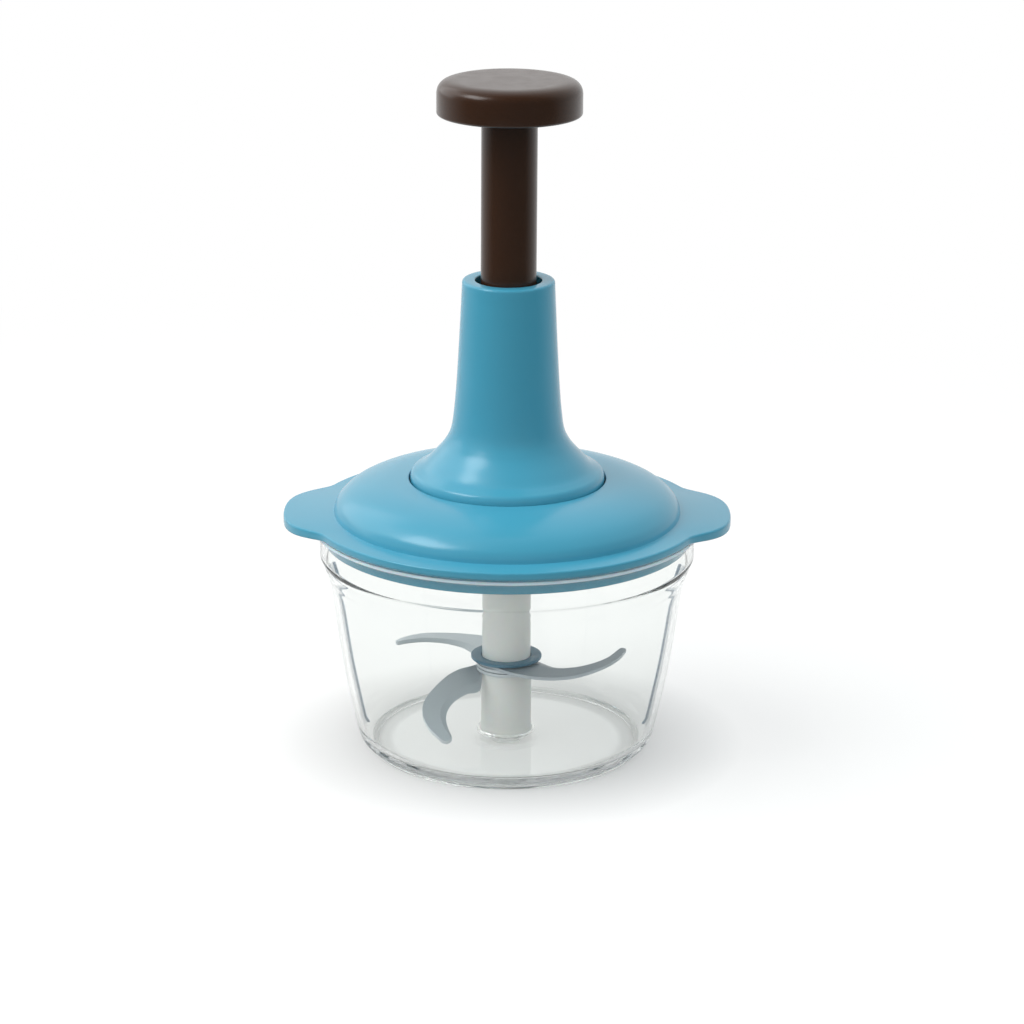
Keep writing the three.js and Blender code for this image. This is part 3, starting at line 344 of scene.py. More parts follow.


# Steel with a soft sheen and fine lines. What faces sideways, such as a sheared edge, has its own tone,
# which on the blades is partly their ground edge and partly a painted highlight.
def sheetSteel(name, look):
    material = newMaterial(name)
    place = addNode(material, "ShaderNodeTexCoord").outputs["Object"]
    along = addNode(material, "ShaderNodeMapping", {
        "Vector": place, "Scale": look["lineStretch"]})
    lines = addNode(material, "ShaderNodeTexNoise", {
        "Vector": along.outputs[0], "Scale": perMetre(look["lineMm"]), "Detail": 3.0})
    clouds = addNode(material, "ShaderNodeTexNoise", {
        "Vector": place, "Scale": perMetre(look["cloudMm"]), "Detail": 2.0})
    tone = addNode(material, "ShaderNodeMix", {
        0: clouds.outputs[0], 6: linearColour(look["colour"]), 7: linearColour(look["shade"])},
        data_type="RGBA")
    facing = addNode(material, "ShaderNodeSeparateXYZ", {
        0: addNode(material, "ShaderNodeNewGeometry").outputs["True Normal"]})
    level = addNode(material, "ShaderNodeMath", {0: facing.outputs["Z"]}, operation="ABSOLUTE")
    # Sideways faces take the edge tone; on the blades it is partly a painted highlight.
    edge = addNode(material, "ShaderNodeMapRange", {
        "Value": level.outputs[0], "From Min": sidewaysSpan[0], "From Max": sidewaysSpan[1],
        "To Min": 1.0, "To Max": 0.0})
    tone = addNode(material, "ShaderNodeMix", {
        0: edge.outputs[0], 6: tone.outputs[2], 7: linearColour(look.get("edge", look["colour"]))},
        data_type="RGBA")
    rough = addNode(material, "ShaderNodeMapRange", {
        "Value": lines.outputs[0], "From Min": noiseSpan[0], "From Max": noiseSpan[1],
        "To Min": look["roughness"][0], "To Max": look["roughness"][1]})
    bump = addNode(material, "ShaderNodeBump", {
        "Height": lines.outputs[0], "Strength": look["lineStrength"],
        "Distance": look["lineHeightMm"] * mm})
    shader = addNode(material, "ShaderNodeBsdfPrincipled", {
        "Base Color": tone.outputs[2], "Roughness": rough.outputs[0], "Normal": bump.outputs[0],
        "Metallic": look["metallic"]})
    addNode(material, "ShaderNodeOutputMaterial", {"Surface": shader.outputs[0]})
    return material


# Stainless steel strip, stamped and tumbled: blue-grey faces with pale edges, partly polished and partly
# a painted highlight. The three blades share one steel, but the flat one carries painted shade and the one
# that rises painted light, for the light each gets. The metallic share is low, because the faces look pale
# and nearly matt.
bladeLook = {"edge": "d4dbdf", "metallic": 0.25, "cloudMm": 22, "roughness": (0.34, 0.44),
             "lineMm": 0.6, "lineStretch": (0.15, 1, 1), "lineStrength": 0.12, "lineHeightMm": 0.01}
bladeSteelsWithPaintedLight = {
    # painted shade: the same steel, darker
    "middle": sheetSteel("tumbled stainless steel, painted shade", {
        **bladeLook, "colour": "8f9ba3", "shade": "86929a", "edge": "b4bdc3"}),
    # painted light: the same steel, paler
    "high": sheetSteel("tumbled stainless steel, painted light", {
        **bladeLook, "colour": "e0e9ee", "shade": "d6e0e5"}),
    "low": sheetSteel("tumbled stainless steel", {
        **bladeLook, "colour": "c2ccd1", "shade": "b7c1c7"}),
}

# Steel wire and bar, drawn and nickel plated: bright, with drawing lines along Z.
brightSteel = sheetSteel("nickel-plated steel", {
    "colour": "c2c6c8", "shade": "b4b9bc", "metallic": 1.0, "cloudMm": 9, "roughness": (0.16, 0.28),
    "lineMm": 0.4, "lineStretch": (1, 1, 0.1), "lineStrength": 0.1, "lineHeightMm": 0.006})

# Stainless steel bar, centreless ground, made near white and barely metallic: painted light, which lifts the
# pin where it stands in shade behind the bowl's clear floor.
paleLitSteel = sheetSteel("ground stainless steel, painted light", {
    "colour": "f0f2f2", "shade": "e8ebeb", "metallic": 0.15, "cloudMm": 6, "roughness": (0.4, 0.5),
    "lineMm": 0.3, "lineStretch": (1, 1, 4), "lineStrength": 0.1, "lineHeightMm": 0.004})
print("materials made")


# Bowl, with its foot ring, drawn-in wall, stepped band and rolled rim.
bowlSize = {
    "rim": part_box("bowl")[1].y / mm, "height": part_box("bowl")[1].z / mm, "rimLip": 1.4, "rimFlare": 2.4,
    "beadDepth": 0.7, "beadGap": 0.02, "beadDrop": 0.2,
    "bandHeight": 11.9, "bandWall": 1.5, "bandStep": 1.1, "shoulderRise": 2.4,
    "wall": 2.1, "wallFoot": (56.3, 8), "wallSteps": 48, "heel": (55.1, 3.6), "heelStep": 0.7,
    "foot": 51.1, "footRing": 2.4, "footGroove": (0.6, 1.05, 0.45),  # from, to, depth
    "floor": 3.8, "floorEdge": 47.3, "floorTurnRise": 1.1, "underside": 1.7,
    "bossEdge": 15, "boss": 10.6, "bossTop": 4.5, "pinHole": 3.3,
    "well": (10.1, 11.1), "wellFoot": 4.55, "wellTop": 5.5,
    "ribWidth": 1.4, "ribDepth": 1.1, "ribGap": 0.05, "ribReach": 0.5,
    "ribShares": (0, 0.77),  # of the way up the wall
    "wallShares": [(0, 0), (0.161, 0.138), (0.397, 0.369), (0.57, 0.585), (0.741, 0.831),
                   (0.853, 0.917), (0.966, 0.977), (1, 1)],
}


# One of two upright ribs on the wall's inner face.
def bowlRib(size, inside, floorTurn):
    foot, top = (round(share * (len(inside) - 1)) for share in size["ribShares"])
    run = [inside[foot].lerp(Vector(floorTurn), size["ribReach"]), *inside[foot:top + 1]]
    face = [(point.x - size["ribDepth"], point.y) for point in run]
    root = [(point.x - size["ribGap"], point.y) for point in reversed(run)]
    bm = wireOutline(face + root, closed=True)
    bmesh.ops.contextual_create(bm, geom=bm.edges[:])
    bmesh.ops.translate(bm, verts=extrudedCopy(bm), vec=(0, size["ribWidth"] * mm, 0))
    bmesh.ops.translate(bm, verts=bm.verts, vec=(0, -0.5 * size["ribWidth"] * mm, 0))
    return tidied(bm)


def makeBowl(size):
    band = size["rim"] - size["rimFlare"]
    bandInner = band - size["bandWall"]
    bandFoot = size["height"] - size["bandHeight"]
    shoulder = (band - size["bandStep"], bandFoot - size["shoulderRise"])
    wall = sharedCurve(size["wallShares"], size["wallFoot"], shoulder, size["wallSteps"])
    inside = offsetCurve(wall, size["wall"])
    footInner = size["foot"] - size["footRing"]
    floorTurn = (0.5 * (size["floorEdge"] + size["wallFoot"][0]), size["floor"] + size["floorTurnRise"])
    beadInner = size["rim"] - size["beadDepth"]
    beadFoot = size["height"] - size["rimLip"]
    beadTop = size["height"] - size["beadDrop"]
    ringTop = size["underside"] - size["beadGap"]
    body = spun([
        (size["pinHole"], size["underside"]),
        (size["foot"] + size["heelStep"], size["underside"], 0.4),
        (*size["heel"], 1.8),
        *wall,
        (band, bandFoot, 0.15),
        (band, size["height"] - 2 * size["rimLip"], 0.5),
        (beadInner - size["beadGap"], beadFoot, 0.5),
        (beadInner - size["beadGap"], size["height"], 0.3),
        (bandInner, size["height"], 0.4),
        (bandInner, bandFoot, 0.8),
        *reversed(inside),
        (*floorTurn, 1.5),
        (size["floorEdge"], size["floor"], 1.2),
        (size["bossEdge"], size["floor"], 1),
        (size["boss"], size["bossTop"], 0.6),
        (size["pinHole"], size["bossTop"]),
    ], closed=True, steps=192)
    piece(body, "bowl_moulding", "bowl", "bowl", bowlAs, sharpAngle=30)
    ring = spun([
        (footInner, 0, 0.7),
        (size["foot"], 0, 0.4),
        (size["foot"], size["footGroove"][0], 0.05),
        (size["foot"] - size["footGroove"][2], 0.5 * sum(size["footGroove"][:2]), 0.05),
        (size["foot"], size["footGroove"][1], 0.05),
        (size["foot"], ringTop, 0.2),
        (footInner, ringTop, 0.2),
    ], closed=True, steps=192)
    # The ring's grey is painted shade.
    piece(ring, "bowl_foot_ring", "bowl", "bowl", footShadeAs)
    bead = spun([
        (beadInner, beadFoot, 0.15),
        (size["rim"], beadFoot, 0.25),
        (size["rim"], beadTop, 0.25),
        (beadInner, beadTop, 0.15),
    ], closed=True, steps=192)
    # The rim's pale ring is a painted highlight.
    piece(bead, "bowl_rim_highlight", "bowl", "bowl", rimHighlightAs)
    well = spun([
        (size["well"][0], size["wellFoot"], 0.15),
        (size["well"][1], size["wellFoot"], 0.15),
        (size["well"][1], size["wellTop"], 0.35),
        (size["well"][0], size["wellTop"], 0.25),
    ], closed=True, steps=128)
    piece(well, "bowl_well_ring", "bowl", "bowl", wellAs)
    for index, side in enumerate(("right", "left")):
        rib = turnedBy(bowlRib(size, inside, floorTurn), 180 * index)
        # The ribs' blue is a painted reflection of the lid.
        piece(rib, "bowl_rib_" + side, "bowl", "bowl", ribLidReflectionAs, sharpAngle=30)


makeBowl(bowlSize)

# Lid: cup for the spring, recess for the tower, dome, flange with two ears, gasket groove, skirt.
lidSize = {
    "ear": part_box("lid_shell")[1].x / mm, "earHalfAngle": 25.5, "earPower": 1.95, "earDrop": 0.9,
    "flange": 73.4, "flangeTop": 91, "flangeFoot": 88, "edgeRound": 0.8,
    "dome": (64.4, 91.3), "domeTop": 104.2, "domeSteps": 40, "recess": 36.5, "recessFloor": 101,
    "wall": 2.4, "cup": 12.3, "cupFloor": 86.6, "hole": 6.9,
    "skirt": 67.8, "skirtFoot": 81.1, "skirtWall": 2.2,
    "groove": (68.9, 72), "grooveTop": 89.2, "grooveMargin": 0.1,
    "domeShares": [(1, 0), (0.985, 0.16), (0.93, 0.36), (0.8, 0.6), (0.6, 0.79), (0.33, 0.93), (0, 1)],
}


# How far the edge is drawn out at an angle: one in an ear's middle, none past its half angle.
def earSwell(angle, size):
    fromEar = abs(math.asin(math.sin(angle))) / math.radians(size["earHalfAngle"])
    return math.cos(0.5 * math.pi * fromEar ** size["earPower"]) ** 2 if fromEar < 1 else 0


def makeLid(size):
    dome = sharedCurve(size["domeShares"], (size["recess"], size["dome"][1]),
                       (size["dome"][0], size["domeTop"]), size["domeSteps"])
    inner = offsetCurve(dome, size["wall"])[1:]
    skirtInner = size["skirt"] - size["skirtWall"]
    underside = size["recessFloor"] - size["wall"]
    shell = spun([
        (size["cup"], size["cupFloor"], 0.4),
        (size["cup"], size["recessFloor"], 0.5),
        (size["recess"], size["recessFloor"], 0.4),
        (dome[-1].x, dome[-1].y, 0.5),
        *reversed(dome[:-1]),
        (size["dome"][0] + size["edgeRound"], size["flangeTop"]),
        (size["flange"], size["flangeTop"], size["edgeRound"]),
        (size["flange"], size["flangeFoot"], size["edgeRound"]),
        (size["groove"][1], size["flangeFoot"]),
        (size["groove"][1], size["grooveTop"]),
        (size["groove"][0], size["grooveTop"]),
        (size["groove"][0], size["flangeFoot"]),
        (size["skirt"], size["flangeFoot"], 0.3),
        (size["skirt"], size["skirtFoot"], 0.6),
        (skirtInner, size["skirtFoot"], 0.5),
        (skirtInner, size["flangeFoot"]),
        *inner,
        (size["recess"] + size["wall"], underside),
        (size["cup"] + size["wall"], underside),
        (size["cup"] + size["wall"], size["cupFloor"] - size["wall"], 0.6),
        (size["hole"], size["cupFloor"] - size["wall"]),
        (size["hole"], size["cupFloor"]),
    ], closed=True, steps=240)
    length = size["ear"] - size["flange"]
    middleZ = 0.5 * (size["flangeTop"] + size["flangeFoot"]) * mm
    for vert in shell.verts:
        radius = vert.co.xy.length
        if radius > (size["groove"][1] + size["grooveMargin"]) * mm:
            swell = earSwell(math.atan2(vert.co.y, vert.co.x), size)
            vert.co.xy *= (radius + length * swell * mm) / radius
            if vert.co.z < middleZ:
                vert.co.z -= size["earDrop"] * swell * mm
    piece(shell, "lid_moulding", "lid", "lid_shell", lidAbs)


makeLid(lidSize)

# Tower: a hollow column that flares into a bell.
towerSize = {
    "top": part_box("tower")[1].z / mm, "foot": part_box("tower")[0].z / mm, "bell": 36, "bellEdge": 103.6,
    "neck": 17, "mouth": 12.2, "lip": 6.5, "guideBore": 14, "guideFoot": 161.3, "guideGap": 0.5,
    "wall": 2.4, "round": 1, "steps": 96,
    "shares": [(1, 0), (0.992, 0.024), (0.95, 0.044), (0.86, 0.058), (0.74, 0.077), (0.59, 0.115),
               (0.44, 0.155), (0.32, 0.195), (0.215, 0.25), (0.16, 0.33), (0.11, 0.47), (0.055, 0.7),
               (0, 0.985)],
}


def makeTower(size):
    flare = sharedCurve(size["shares"], (size["neck"], size["bellEdge"]), (size["bell"], size["top"]),
                        size["steps"])
    inner = [point for point in reversed(offsetCurve(flare, size["wall"]))
             if size["bellEdge"] < point.y < size["guideFoot"] - size["guideGap"]]
    shell = spun([
        (size["bell"], size["foot"], 0.4),
        *flare[:-1],
        (size["neck"], size["top"], size["round"]),
        (size["mouth"], size["top"], 0.5),
        (size["mouth"], size["top"] - size["lip"], 0.3),
        (size["guideBore"], size["top"] - size["lip"]),
        (size["guideBore"], size["guideFoot"]),
        (inner[0].x, size["guideFoot"]),
        *inner,
        (size["bell"] - size["wall"], size["foot"], 0.3),
    ], closed=True, steps=192)
    piece(shell, "tower_moulding", "lid", "tower", lidAbs)


makeTower(towerSize)

# Knob: a rounded disc, hollow and ribbed underneath.
knobSize = {
    "radius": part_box("plunger_knob")[1].y / mm, "top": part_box("plunger_knob")[1].z / mm,
    "foot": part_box("plunger_knob")[0].z / mm, "footRound": 0.9,
    "shoulder": (7.2, 4.9), "shoulderSteps": 16,
    "shoulderShares": [(0, 0), (0.035, 0.3), (0.13, 0.57), (0.3, 0.8), (0.55, 0.94), (0.8, 0.99), (1, 1)],
    "socket": 10.5, "socketTop": 246.5, "pocket": (13.6, 23.4), "pocketDepth": 5,
    "socketSeam": 0.5,  # how far the outline stops short of its start
    "ribs": 6, "ribWidth": 1.6, "ribLift": 0.2, "ribRoot": 0.5,
}


def makeKnob(size):
    pocketTop = size["foot"] + size["pocketDepth"]
    shoulder = sharedCurve(size["shoulderShares"], (size["radius"], size["top"] - size["shoulder"][1]),
                           (size["radius"] - size["shoulder"][0], size["top"]), size["shoulderSteps"])
    body = spun([
        (size["socket"], size["foot"], 0.3),
        (size["pocket"][0], size["foot"], 0.4),
        (size["pocket"][0], pocketTop, 0.5),
        (size["pocket"][1], pocketTop, 0.5),
        (size["pocket"][1], size["foot"], 0.4),
        (size["radius"], size["foot"], size["footRound"]),
        *shoulder,
        (0, size["top"]),
        (0, size["socketTop"]),
        (size["socket"], size["socketTop"]),
        (size["socket"], size["foot"] + size["socketSeam"]),
    ], steps=160)
    ribLength = size["pocket"][1] - size["pocket"][0] + 2 * size["ribRoot"]
    ribs = [turnedBy(block(ribLength, size["ribWidth"], size["foot"] + size["ribLift"],
                           pocketTop + size["ribRoot"], 0.5 * sum(size["pocket"])),
                     360 * index / size["ribs"]) for index in range(size["ribs"])]
    piece(combined(body, ribs, "UNION"), "knob_moulding", "plunger", "plunger_knob", knobAbs)


makeKnob(knobSize)

# Plunger tube, with its flange and the nut's pocket at the foot.
tubeSize = {
    "radius": 10.2, "bore": 6, "web": 3, "hole": 1.7,
    "foot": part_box("plunger_tube")[0].z / mm, "top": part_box("plunger_tube")[1].z / mm,
    "flange": 13.7, "flangeHeight": 4, "pocket": 7.4, "pocketTop": 167.2,
    "notches": 4, "notchTurn": 45, "notchWidth": 3.6, "notchDepth": 1.8, "cutter": 4, "cutterOver": 1,
}


def makeTube(size):
    flangeTop = size["foot"] + size["flangeHeight"]
    body = spun([
        (size["pocket"], size["foot"]),
        (size["flange"], size["foot"], 0.4),
        (size["flange"], flangeTop, 0.4),
        (size["radius"], flangeTop, 0.3),
        (size["radius"], size["top"], 0.4),
        (size["hole"], size["top"]),
        (size["hole"], size["top"] - size["web"]),
        (size["bore"], size["top"] - size["web"]),
        (size["bore"], size["pocketTop"]),
        (size["pocket"], size["pocketTop"]),
    ], closed=True, steps=128)
    notches = [turnedBy(block(size["cutter"], size["notchWidth"], size["foot"] - size["cutterOver"],
                              flangeTop + size["cutterOver"],
                              size["flange"] - size["notchDepth"] + 0.5 * size["cutter"]),
                        size["notchTurn"] + 360 * index / size["notches"])
               for index in range(size["notches"])]
    piece(combined(body, notches, "DIFFERENCE"), "tube_moulding", "plunger", "plunger_tube", knobAbs)


makeTube(tubeSize)

# Blade shaft, its sleeve and the collar over the blades.
shaftSize = {
    "radius": 9.1, "foot": 5.2, "step": 33.4, "top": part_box("blade_shaft")[1].z / mm, "core": 6.3,
    "bore": 3.3, "boreTop": 40.6, "bushBore": 5.2, "bushTop": 15.5,
    "bushSeam": 0.01,  # how far the outline stops short of its start
    "socket": 5.2, "socketFoot": 65.9, "cutterOver": 2, "sleeve": 9.5, "sleeveFoot": 4.8,
    "sleeveTop": 28.6, "sleeveBore": 6.6, "flare": 9.8, "flareHeight": 2.4, "flareShare": 0.4,
    "collar": (9.4, 13.3), "collarFoot": 33.4, "collarTop": 34.6,
}


def makeShaft(size):
    body = spun([
        (size["bushBore"], size["foot"]),
        (size["core"], size["foot"]),
        (size["core"], size["step"]),
        (size["radius"], size["step"], 0.2),
        (size["radius"], size["top"], 0.5),
        (0, size["top"]),
        (0, size["boreTop"]),
        (size["bore"], size["boreTop"]),
        (size["bore"], size["bushTop"]),
        (size["bushBore"], size["bushTop"]),
        (size["bushBore"], size["foot"] + size["bushSeam"]),
    ], steps=128)
    socket = prism(6, size["socket"], size["socketFoot"], size["top"] + size["cutterOver"])
    piece(combined(body, [socket], "DIFFERENCE"), "shaft_moulding", "blades", "blade_shaft", shaftPp)
    sleeve = spun([
        (size["sleeveBore"], size["sleeveFoot"]),
        (size["flare"], size["sleeveFoot"], 0.3),
        (size["flare"], size["sleeveFoot"] + size["flareShare"] * size["flareHeight"], 0.4),
        (size["sleeve"], size["sleeveFoot"] + size["flareHeight"], 0.5),
        (size["sleeve"], size["sleeveTop"], 0.2),
        (size["sleeveBore"], size["sleeveTop"]),
    ], closed=True, steps=128)
    piece(sleeve, "sleeve_moulding", "blades", "shaft_sleeve", shaftPp)
    collar = spun([
        (size["collar"][0], size["collarFoot"], 0.2),
        (size["collar"][1], size["collarFoot"], 0.25),
        (size["collar"][1], size["collarTop"], 0.35),
        (size["collar"][0], size["collarTop"], 0.2),
    ], closed=True, steps=128)
    piece(collar, "collar_moulding", "blades", "blade_collar", collarNylon)


makeShaft(shaftSize)

# Sickle blades: plans in shares of the reach, root to tip, each with its own bend.
bladeSize = {
    "reach": 45.5, "thickness": 1.2, "edge": 0.25, "grindShare": 0.24, "stations": 48, "tipTurn": 75,
    "tipSteps": 6, "ring": 11.2, "hole": 6.6, "hub": 9.8, "ringSteps": 96,
}
bladePlans = {
    "middle": {
        "top": 33.1, "rise": 0, "heading": 0, "start": 0,
        "back": [(-0.14, -0.18), (0.038, -0.365), (0.29, -0.475), (0.545, -0.438), (0.78, -0.23),
                 (0.925, -0.01), (0.998, 0.19)],
        "cut": [(0.06, 0.14), (0.265, -0.05), (0.4, -0.185), (0.54, -0.18), (0.69, -0.105), (0.815, 0.02),
                (0.922, 0.225)]},
    "high": {
        "top": 31.6, "rise": 0.09, "heading": 180, "start": 12.2,
        "back": [(-0.02, 0.24), (-0.19, 0.66), (-0.368, 0.715), (-0.55, 0.668), (-0.7, 0.592),
                 (-0.84, 0.455), (-0.92, 0.335)],
        "cut": [(-0.18, -0.05), (-0.29, 0.25), (-0.4, 0.38), (-0.53, 0.43), (-0.665, 0.424),
                (-0.8, 0.365), (-0.895, 0.29)]},
    "low": {
        "top": 30.1, "rise": -0.79, "heading": -74.16, "start": 0,
        "back": [(-0.15, 0.16), (-0.25, 0), (-0.375, -0.1), (-0.504, -0.2), (-0.648, -0.375),
                 (-0.68, -0.5), (-0.625, -0.605), (-0.54, -0.665)],
        "cut": [(-0.19, 0), (-0.213, -0.215), (-0.323, -0.272), (-0.418, -0.345), (-0.473, -0.423),
                (-0.488, -0.495), (-0.473, -0.555), (-0.45, -0.6)]},
}


# Pairs of points on the blade's back and cutting edge, station by station, with a round tip.
def bladeStations(size, plan):
    origin, reach = (0, 0), (size["reach"], size["reach"])
    back, cut = (sharedCurve(plan[side], origin, reach, size["stations"]) for side in ("back", "cut"))
    pairs = list(zip(back, cut))
    middle, half = 0.5 * (back[-1] + cut[-1]), 0.5 * (back[-1] - cut[-1])
    run = (back[-1] - back[-2]).normalized() + (cut[-1] - cut[-2]).normalized()
    run = run.normalized() * half.length
    for step in range(1, size["tipSteps"] + 1):
        turn = math.radians(size["tipTurn"] * step / size["tipSteps"])
        ahead = middle + run * math.sin(turn)
        pairs.append((ahead + half * math.cos(turn), ahead - half * math.cos(turn)))
    return pairs


# A blade: flat faces from back to bevel to edge, thickened, ground thin at the edge, bent, and joined
# to its ring round the shaft.
def makeBlade(name, size, plan):
    bm = bmesh.new()
    chains = []
    for share in (0, 1 - size["grindShare"], 1):
        verts = [bm.verts.new((*(back.lerp(cut, share) * mm), plan["top"] * mm))
                 for back, cut in bladeStations(size, plan)]
        chains.append([bm.edges.new(pair) for pair in zip(verts, verts[1:])])
    cutVerts = {vert for edge in chains[2] for vert in edge.verts}
    for near, far in zip(chains, chains[1:]):
        bmesh.ops.bridge_loops(bm, edges=near + far)
    bmesh.ops.translate(bm, verts=extrudedCopy(bm), vec=(0, 0, -size["thickness"] * mm))
    bmesh.ops.translate(bm, verts=list(cutVerts), vec=(0, 0, (size["edge"] - size["thickness"]) * mm))
    run = Vector((math.cos(math.radians(plan["heading"])), math.sin(math.radians(plan["heading"]))))
    for vert in bm.verts:
        vert.co.z += plan["rise"] * max(0, vert.co.xy.dot(run) - plan["start"] * mm)
    foot = plan["top"] - size["thickness"]
    ring = spun([(size["hole"], foot), (size["ring"], foot, 0.1), (size["ring"], plan["top"], 0.1),
                 (size["hole"], plan["top"])], closed=True, steps=size["ringSteps"])
    hub = prism(size["ringSteps"], size["hub"], plan["top"] - size["reach"], plan["top"] + size["reach"])
    arm = combined(tidied(bm), [hub], "DIFFERENCE")
    blade = combined(arm, [ring], "UNION")
    piece(blade, "sickle_" + name, "blades", "blade_" + name, bladeSteelsWithPaintedLight[name],
          sharpAngle=12)


for bladeName, bladePlan in bladePlans.items():
    makeBlade(bladeName, bladeSize, bladePlan)

# Bush in the tower's mouth, and the gasket under the flange.
ringSize = {
    "bush": (10.5, 13.7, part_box("guide_bush")[0].z / mm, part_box("guide_bush")[1].z / mm),
    "gasket": (69.2, 71.7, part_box("lid_gasket")[0].z / mm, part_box("lid_gasket")[1].z / mm),
}


def makeRing(name, node, material, size, rounding):
    inner, outer, foot, top = size
    ring = spun([(inner, foot, rounding), (outer, foot, rounding), (outer, top, rounding),
                 (inner, top, rounding)], closed=True, steps=144)
    piece(ring, name, "lid", node, material)


makeRing("mouth_bush", "guide_bush", knobAbs, ringSize["bush"], 0.4)
makeRing("rim_gasket", "lid_gasket", gasketSilicone, ringSize["gasket"], 0.45)

# Return spring: round wire, drawn at rest. In use it closes up towards its seat as the plunger goes down.
springSize = {
    "mean": 9.9, "wire": 0.65, "turns": 9.5, "foot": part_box("return_spring")[0].z / mm,
    "top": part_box("return_spring")[1].z / mm, "stroke": 55, "wireSides": 12, "stepsPerTurn": 40,
}


def makeSpring(size):
    bm = bmesh.new()
    start = Matrix.Translation((size["mean"] * mm, 0, (size["foot"] + size["wire"]) * mm))
    bmesh.ops.create_circle(bm, segments=size["wireSides"], radius=size["wire"] * mm, cap_ends=False,
                            matrix=start @ Matrix.Rotation(math.radians(90), 4, "X"))
    steps = int(size["turns"] * size["stepsPerTurn"])
    rise = (size["top"] - size["foot"] - 2 * size["wire"]) * mm
    bmesh.ops.spin(bm, geom=bm.verts[:] + bm.edges[:], cent=(0, 0, 0), axis=(0, 0, 1),
                   dvec=(0, 0, rise / steps), angle=math.tau * size["turns"], steps=steps)
    bmesh.ops.holes_fill(bm, edges=[edge for edge in bm.edges if edge.is_boundary])
    wire = piece(tidied(bm), "spring_wire", "lid", "return_spring", brightSteel,
                 sharpAngle=50)
    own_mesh(wire)


makeSpring(springSize)

# Pivot pin: a steel bar, with its head and stem shown in the bowl's clear plastic, as none is seen
# through the floor.
pinSize = {
    "radius": 3, "foot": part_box("pivot_pin")[0].z / mm, "top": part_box("pivot_pin")[1].z / mm, "point": 1.5,
    "head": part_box("pivot_pin")[1].x / mm, "headHeight": 1, "stem": 4.5, "gap": 0.05,
}


def makePin(size):
    barFoot = size["stem"] + size["gap"]
    bar = spun([
        (0, barFoot),
        (size["radius"], barFoot, 0.2),
        (size["radius"], size["top"] - size["point"], 0.2),
        (size["point"], size["top"], 0.2),
        (0, size["top"]),
    ], steps=64)
    # The bar's near-white steel is painted light.
    piece(bar, "pin_bar", "bowl", "pivot_pin", paleLitSteel)
    headTop = size["foot"] + size["headHeight"]
    head = spun([
        (0, size["foot"]),
        (size["head"], size["foot"], 0.2),
        (size["head"], headTop, 0.2),
        (size["radius"], headTop),
        (size["radius"], size["stem"]),
        (0, size["stem"]),
    ], steps=64)
    piece(head, "pin_head", "bowl", "pivot_pin", bowlAs)


makePin(pinSize)

# The other inner pieces keep their own solids and take a finish.
innerFinishes = {
    "pivot_bush": bushAcetal, "lid_inner_plate": platePp, "drive_nut": bushAcetal,
    "nut_retainer": brightSteel, "knob_screw": brightSteel, "helix_rod": brightSteel,
    "drive_dog": brightSteel, "spindle_clip": brightSteel, "bearing_bush": bushAcetal,
    "thrust_washer": brightSteel, "spring_seat": bushAcetal,
    "tower_screw_1": brightSteel, "tower_screw_2": brightSteel, "tower_screw_3": brightSteel,
    "plate_screw_1": brightSteel, "plate_screw_2": brightSteel, "plate_screw_3": brightSteel,
    "plate_screw_4": brightSteel,
}
for nodeName, finish in innerFinishes.items():
    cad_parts[nodeName].data.materials.clear()
    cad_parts[nodeName].data.materials.append(finish)
print("pieces made")


# White floor that keeps the shadow. The camera and clear walls see it lifted to white, but the lift is dimmed
# close to the foot and under the bowl: a painted contact shadow. Gloss sees it dim in front of the object,
# where the studio is dark, with a brighter patch, the card, at each side.
floorLook = {
    "radius": 6, "colour": "a0a1a0", "lift": 0.64, "dropMm": 0.05, "fade": (0.25, 0.7),
    # painted contact shadow: where the lift is dimmed round the foot, and under the bowl
    "contact": (0.05, 0.09, 0.58),  # from and to this far out, and the share of the lift at the foot
    "under": (0.042, 0.05, 0.86),  # the same under the bowl, where it ends
    "frontGloss": 0.08, "turn": (-0.3, 1.0),
    "card": 0.35, "cardTurn": (0.8, 0.9), "cardReach": (0.56, 0.6),
}


# Full strength for the camera and for what is seen through clear walls, and its own for gloss.
def seenStrength(owner, glossy):
    path = addNode(owner, "ShaderNodeLightPath")
    seen = addNode(owner, "ShaderNodeMath", {
        0: path.outputs["Is Camera Ray"], 1: path.outputs["Is Transmission Ray"]}, operation="MAXIMUM")
    gloss = addNode(owner, "ShaderNodeMath", {
        0: path.outputs["Is Glossy Ray"], 1: glossy}, operation="MULTIPLY")
    return addNode(owner, "ShaderNodeMath", {0: seen.outputs[0], 1: gloss.outputs[0]}, operation="MAXIMUM")


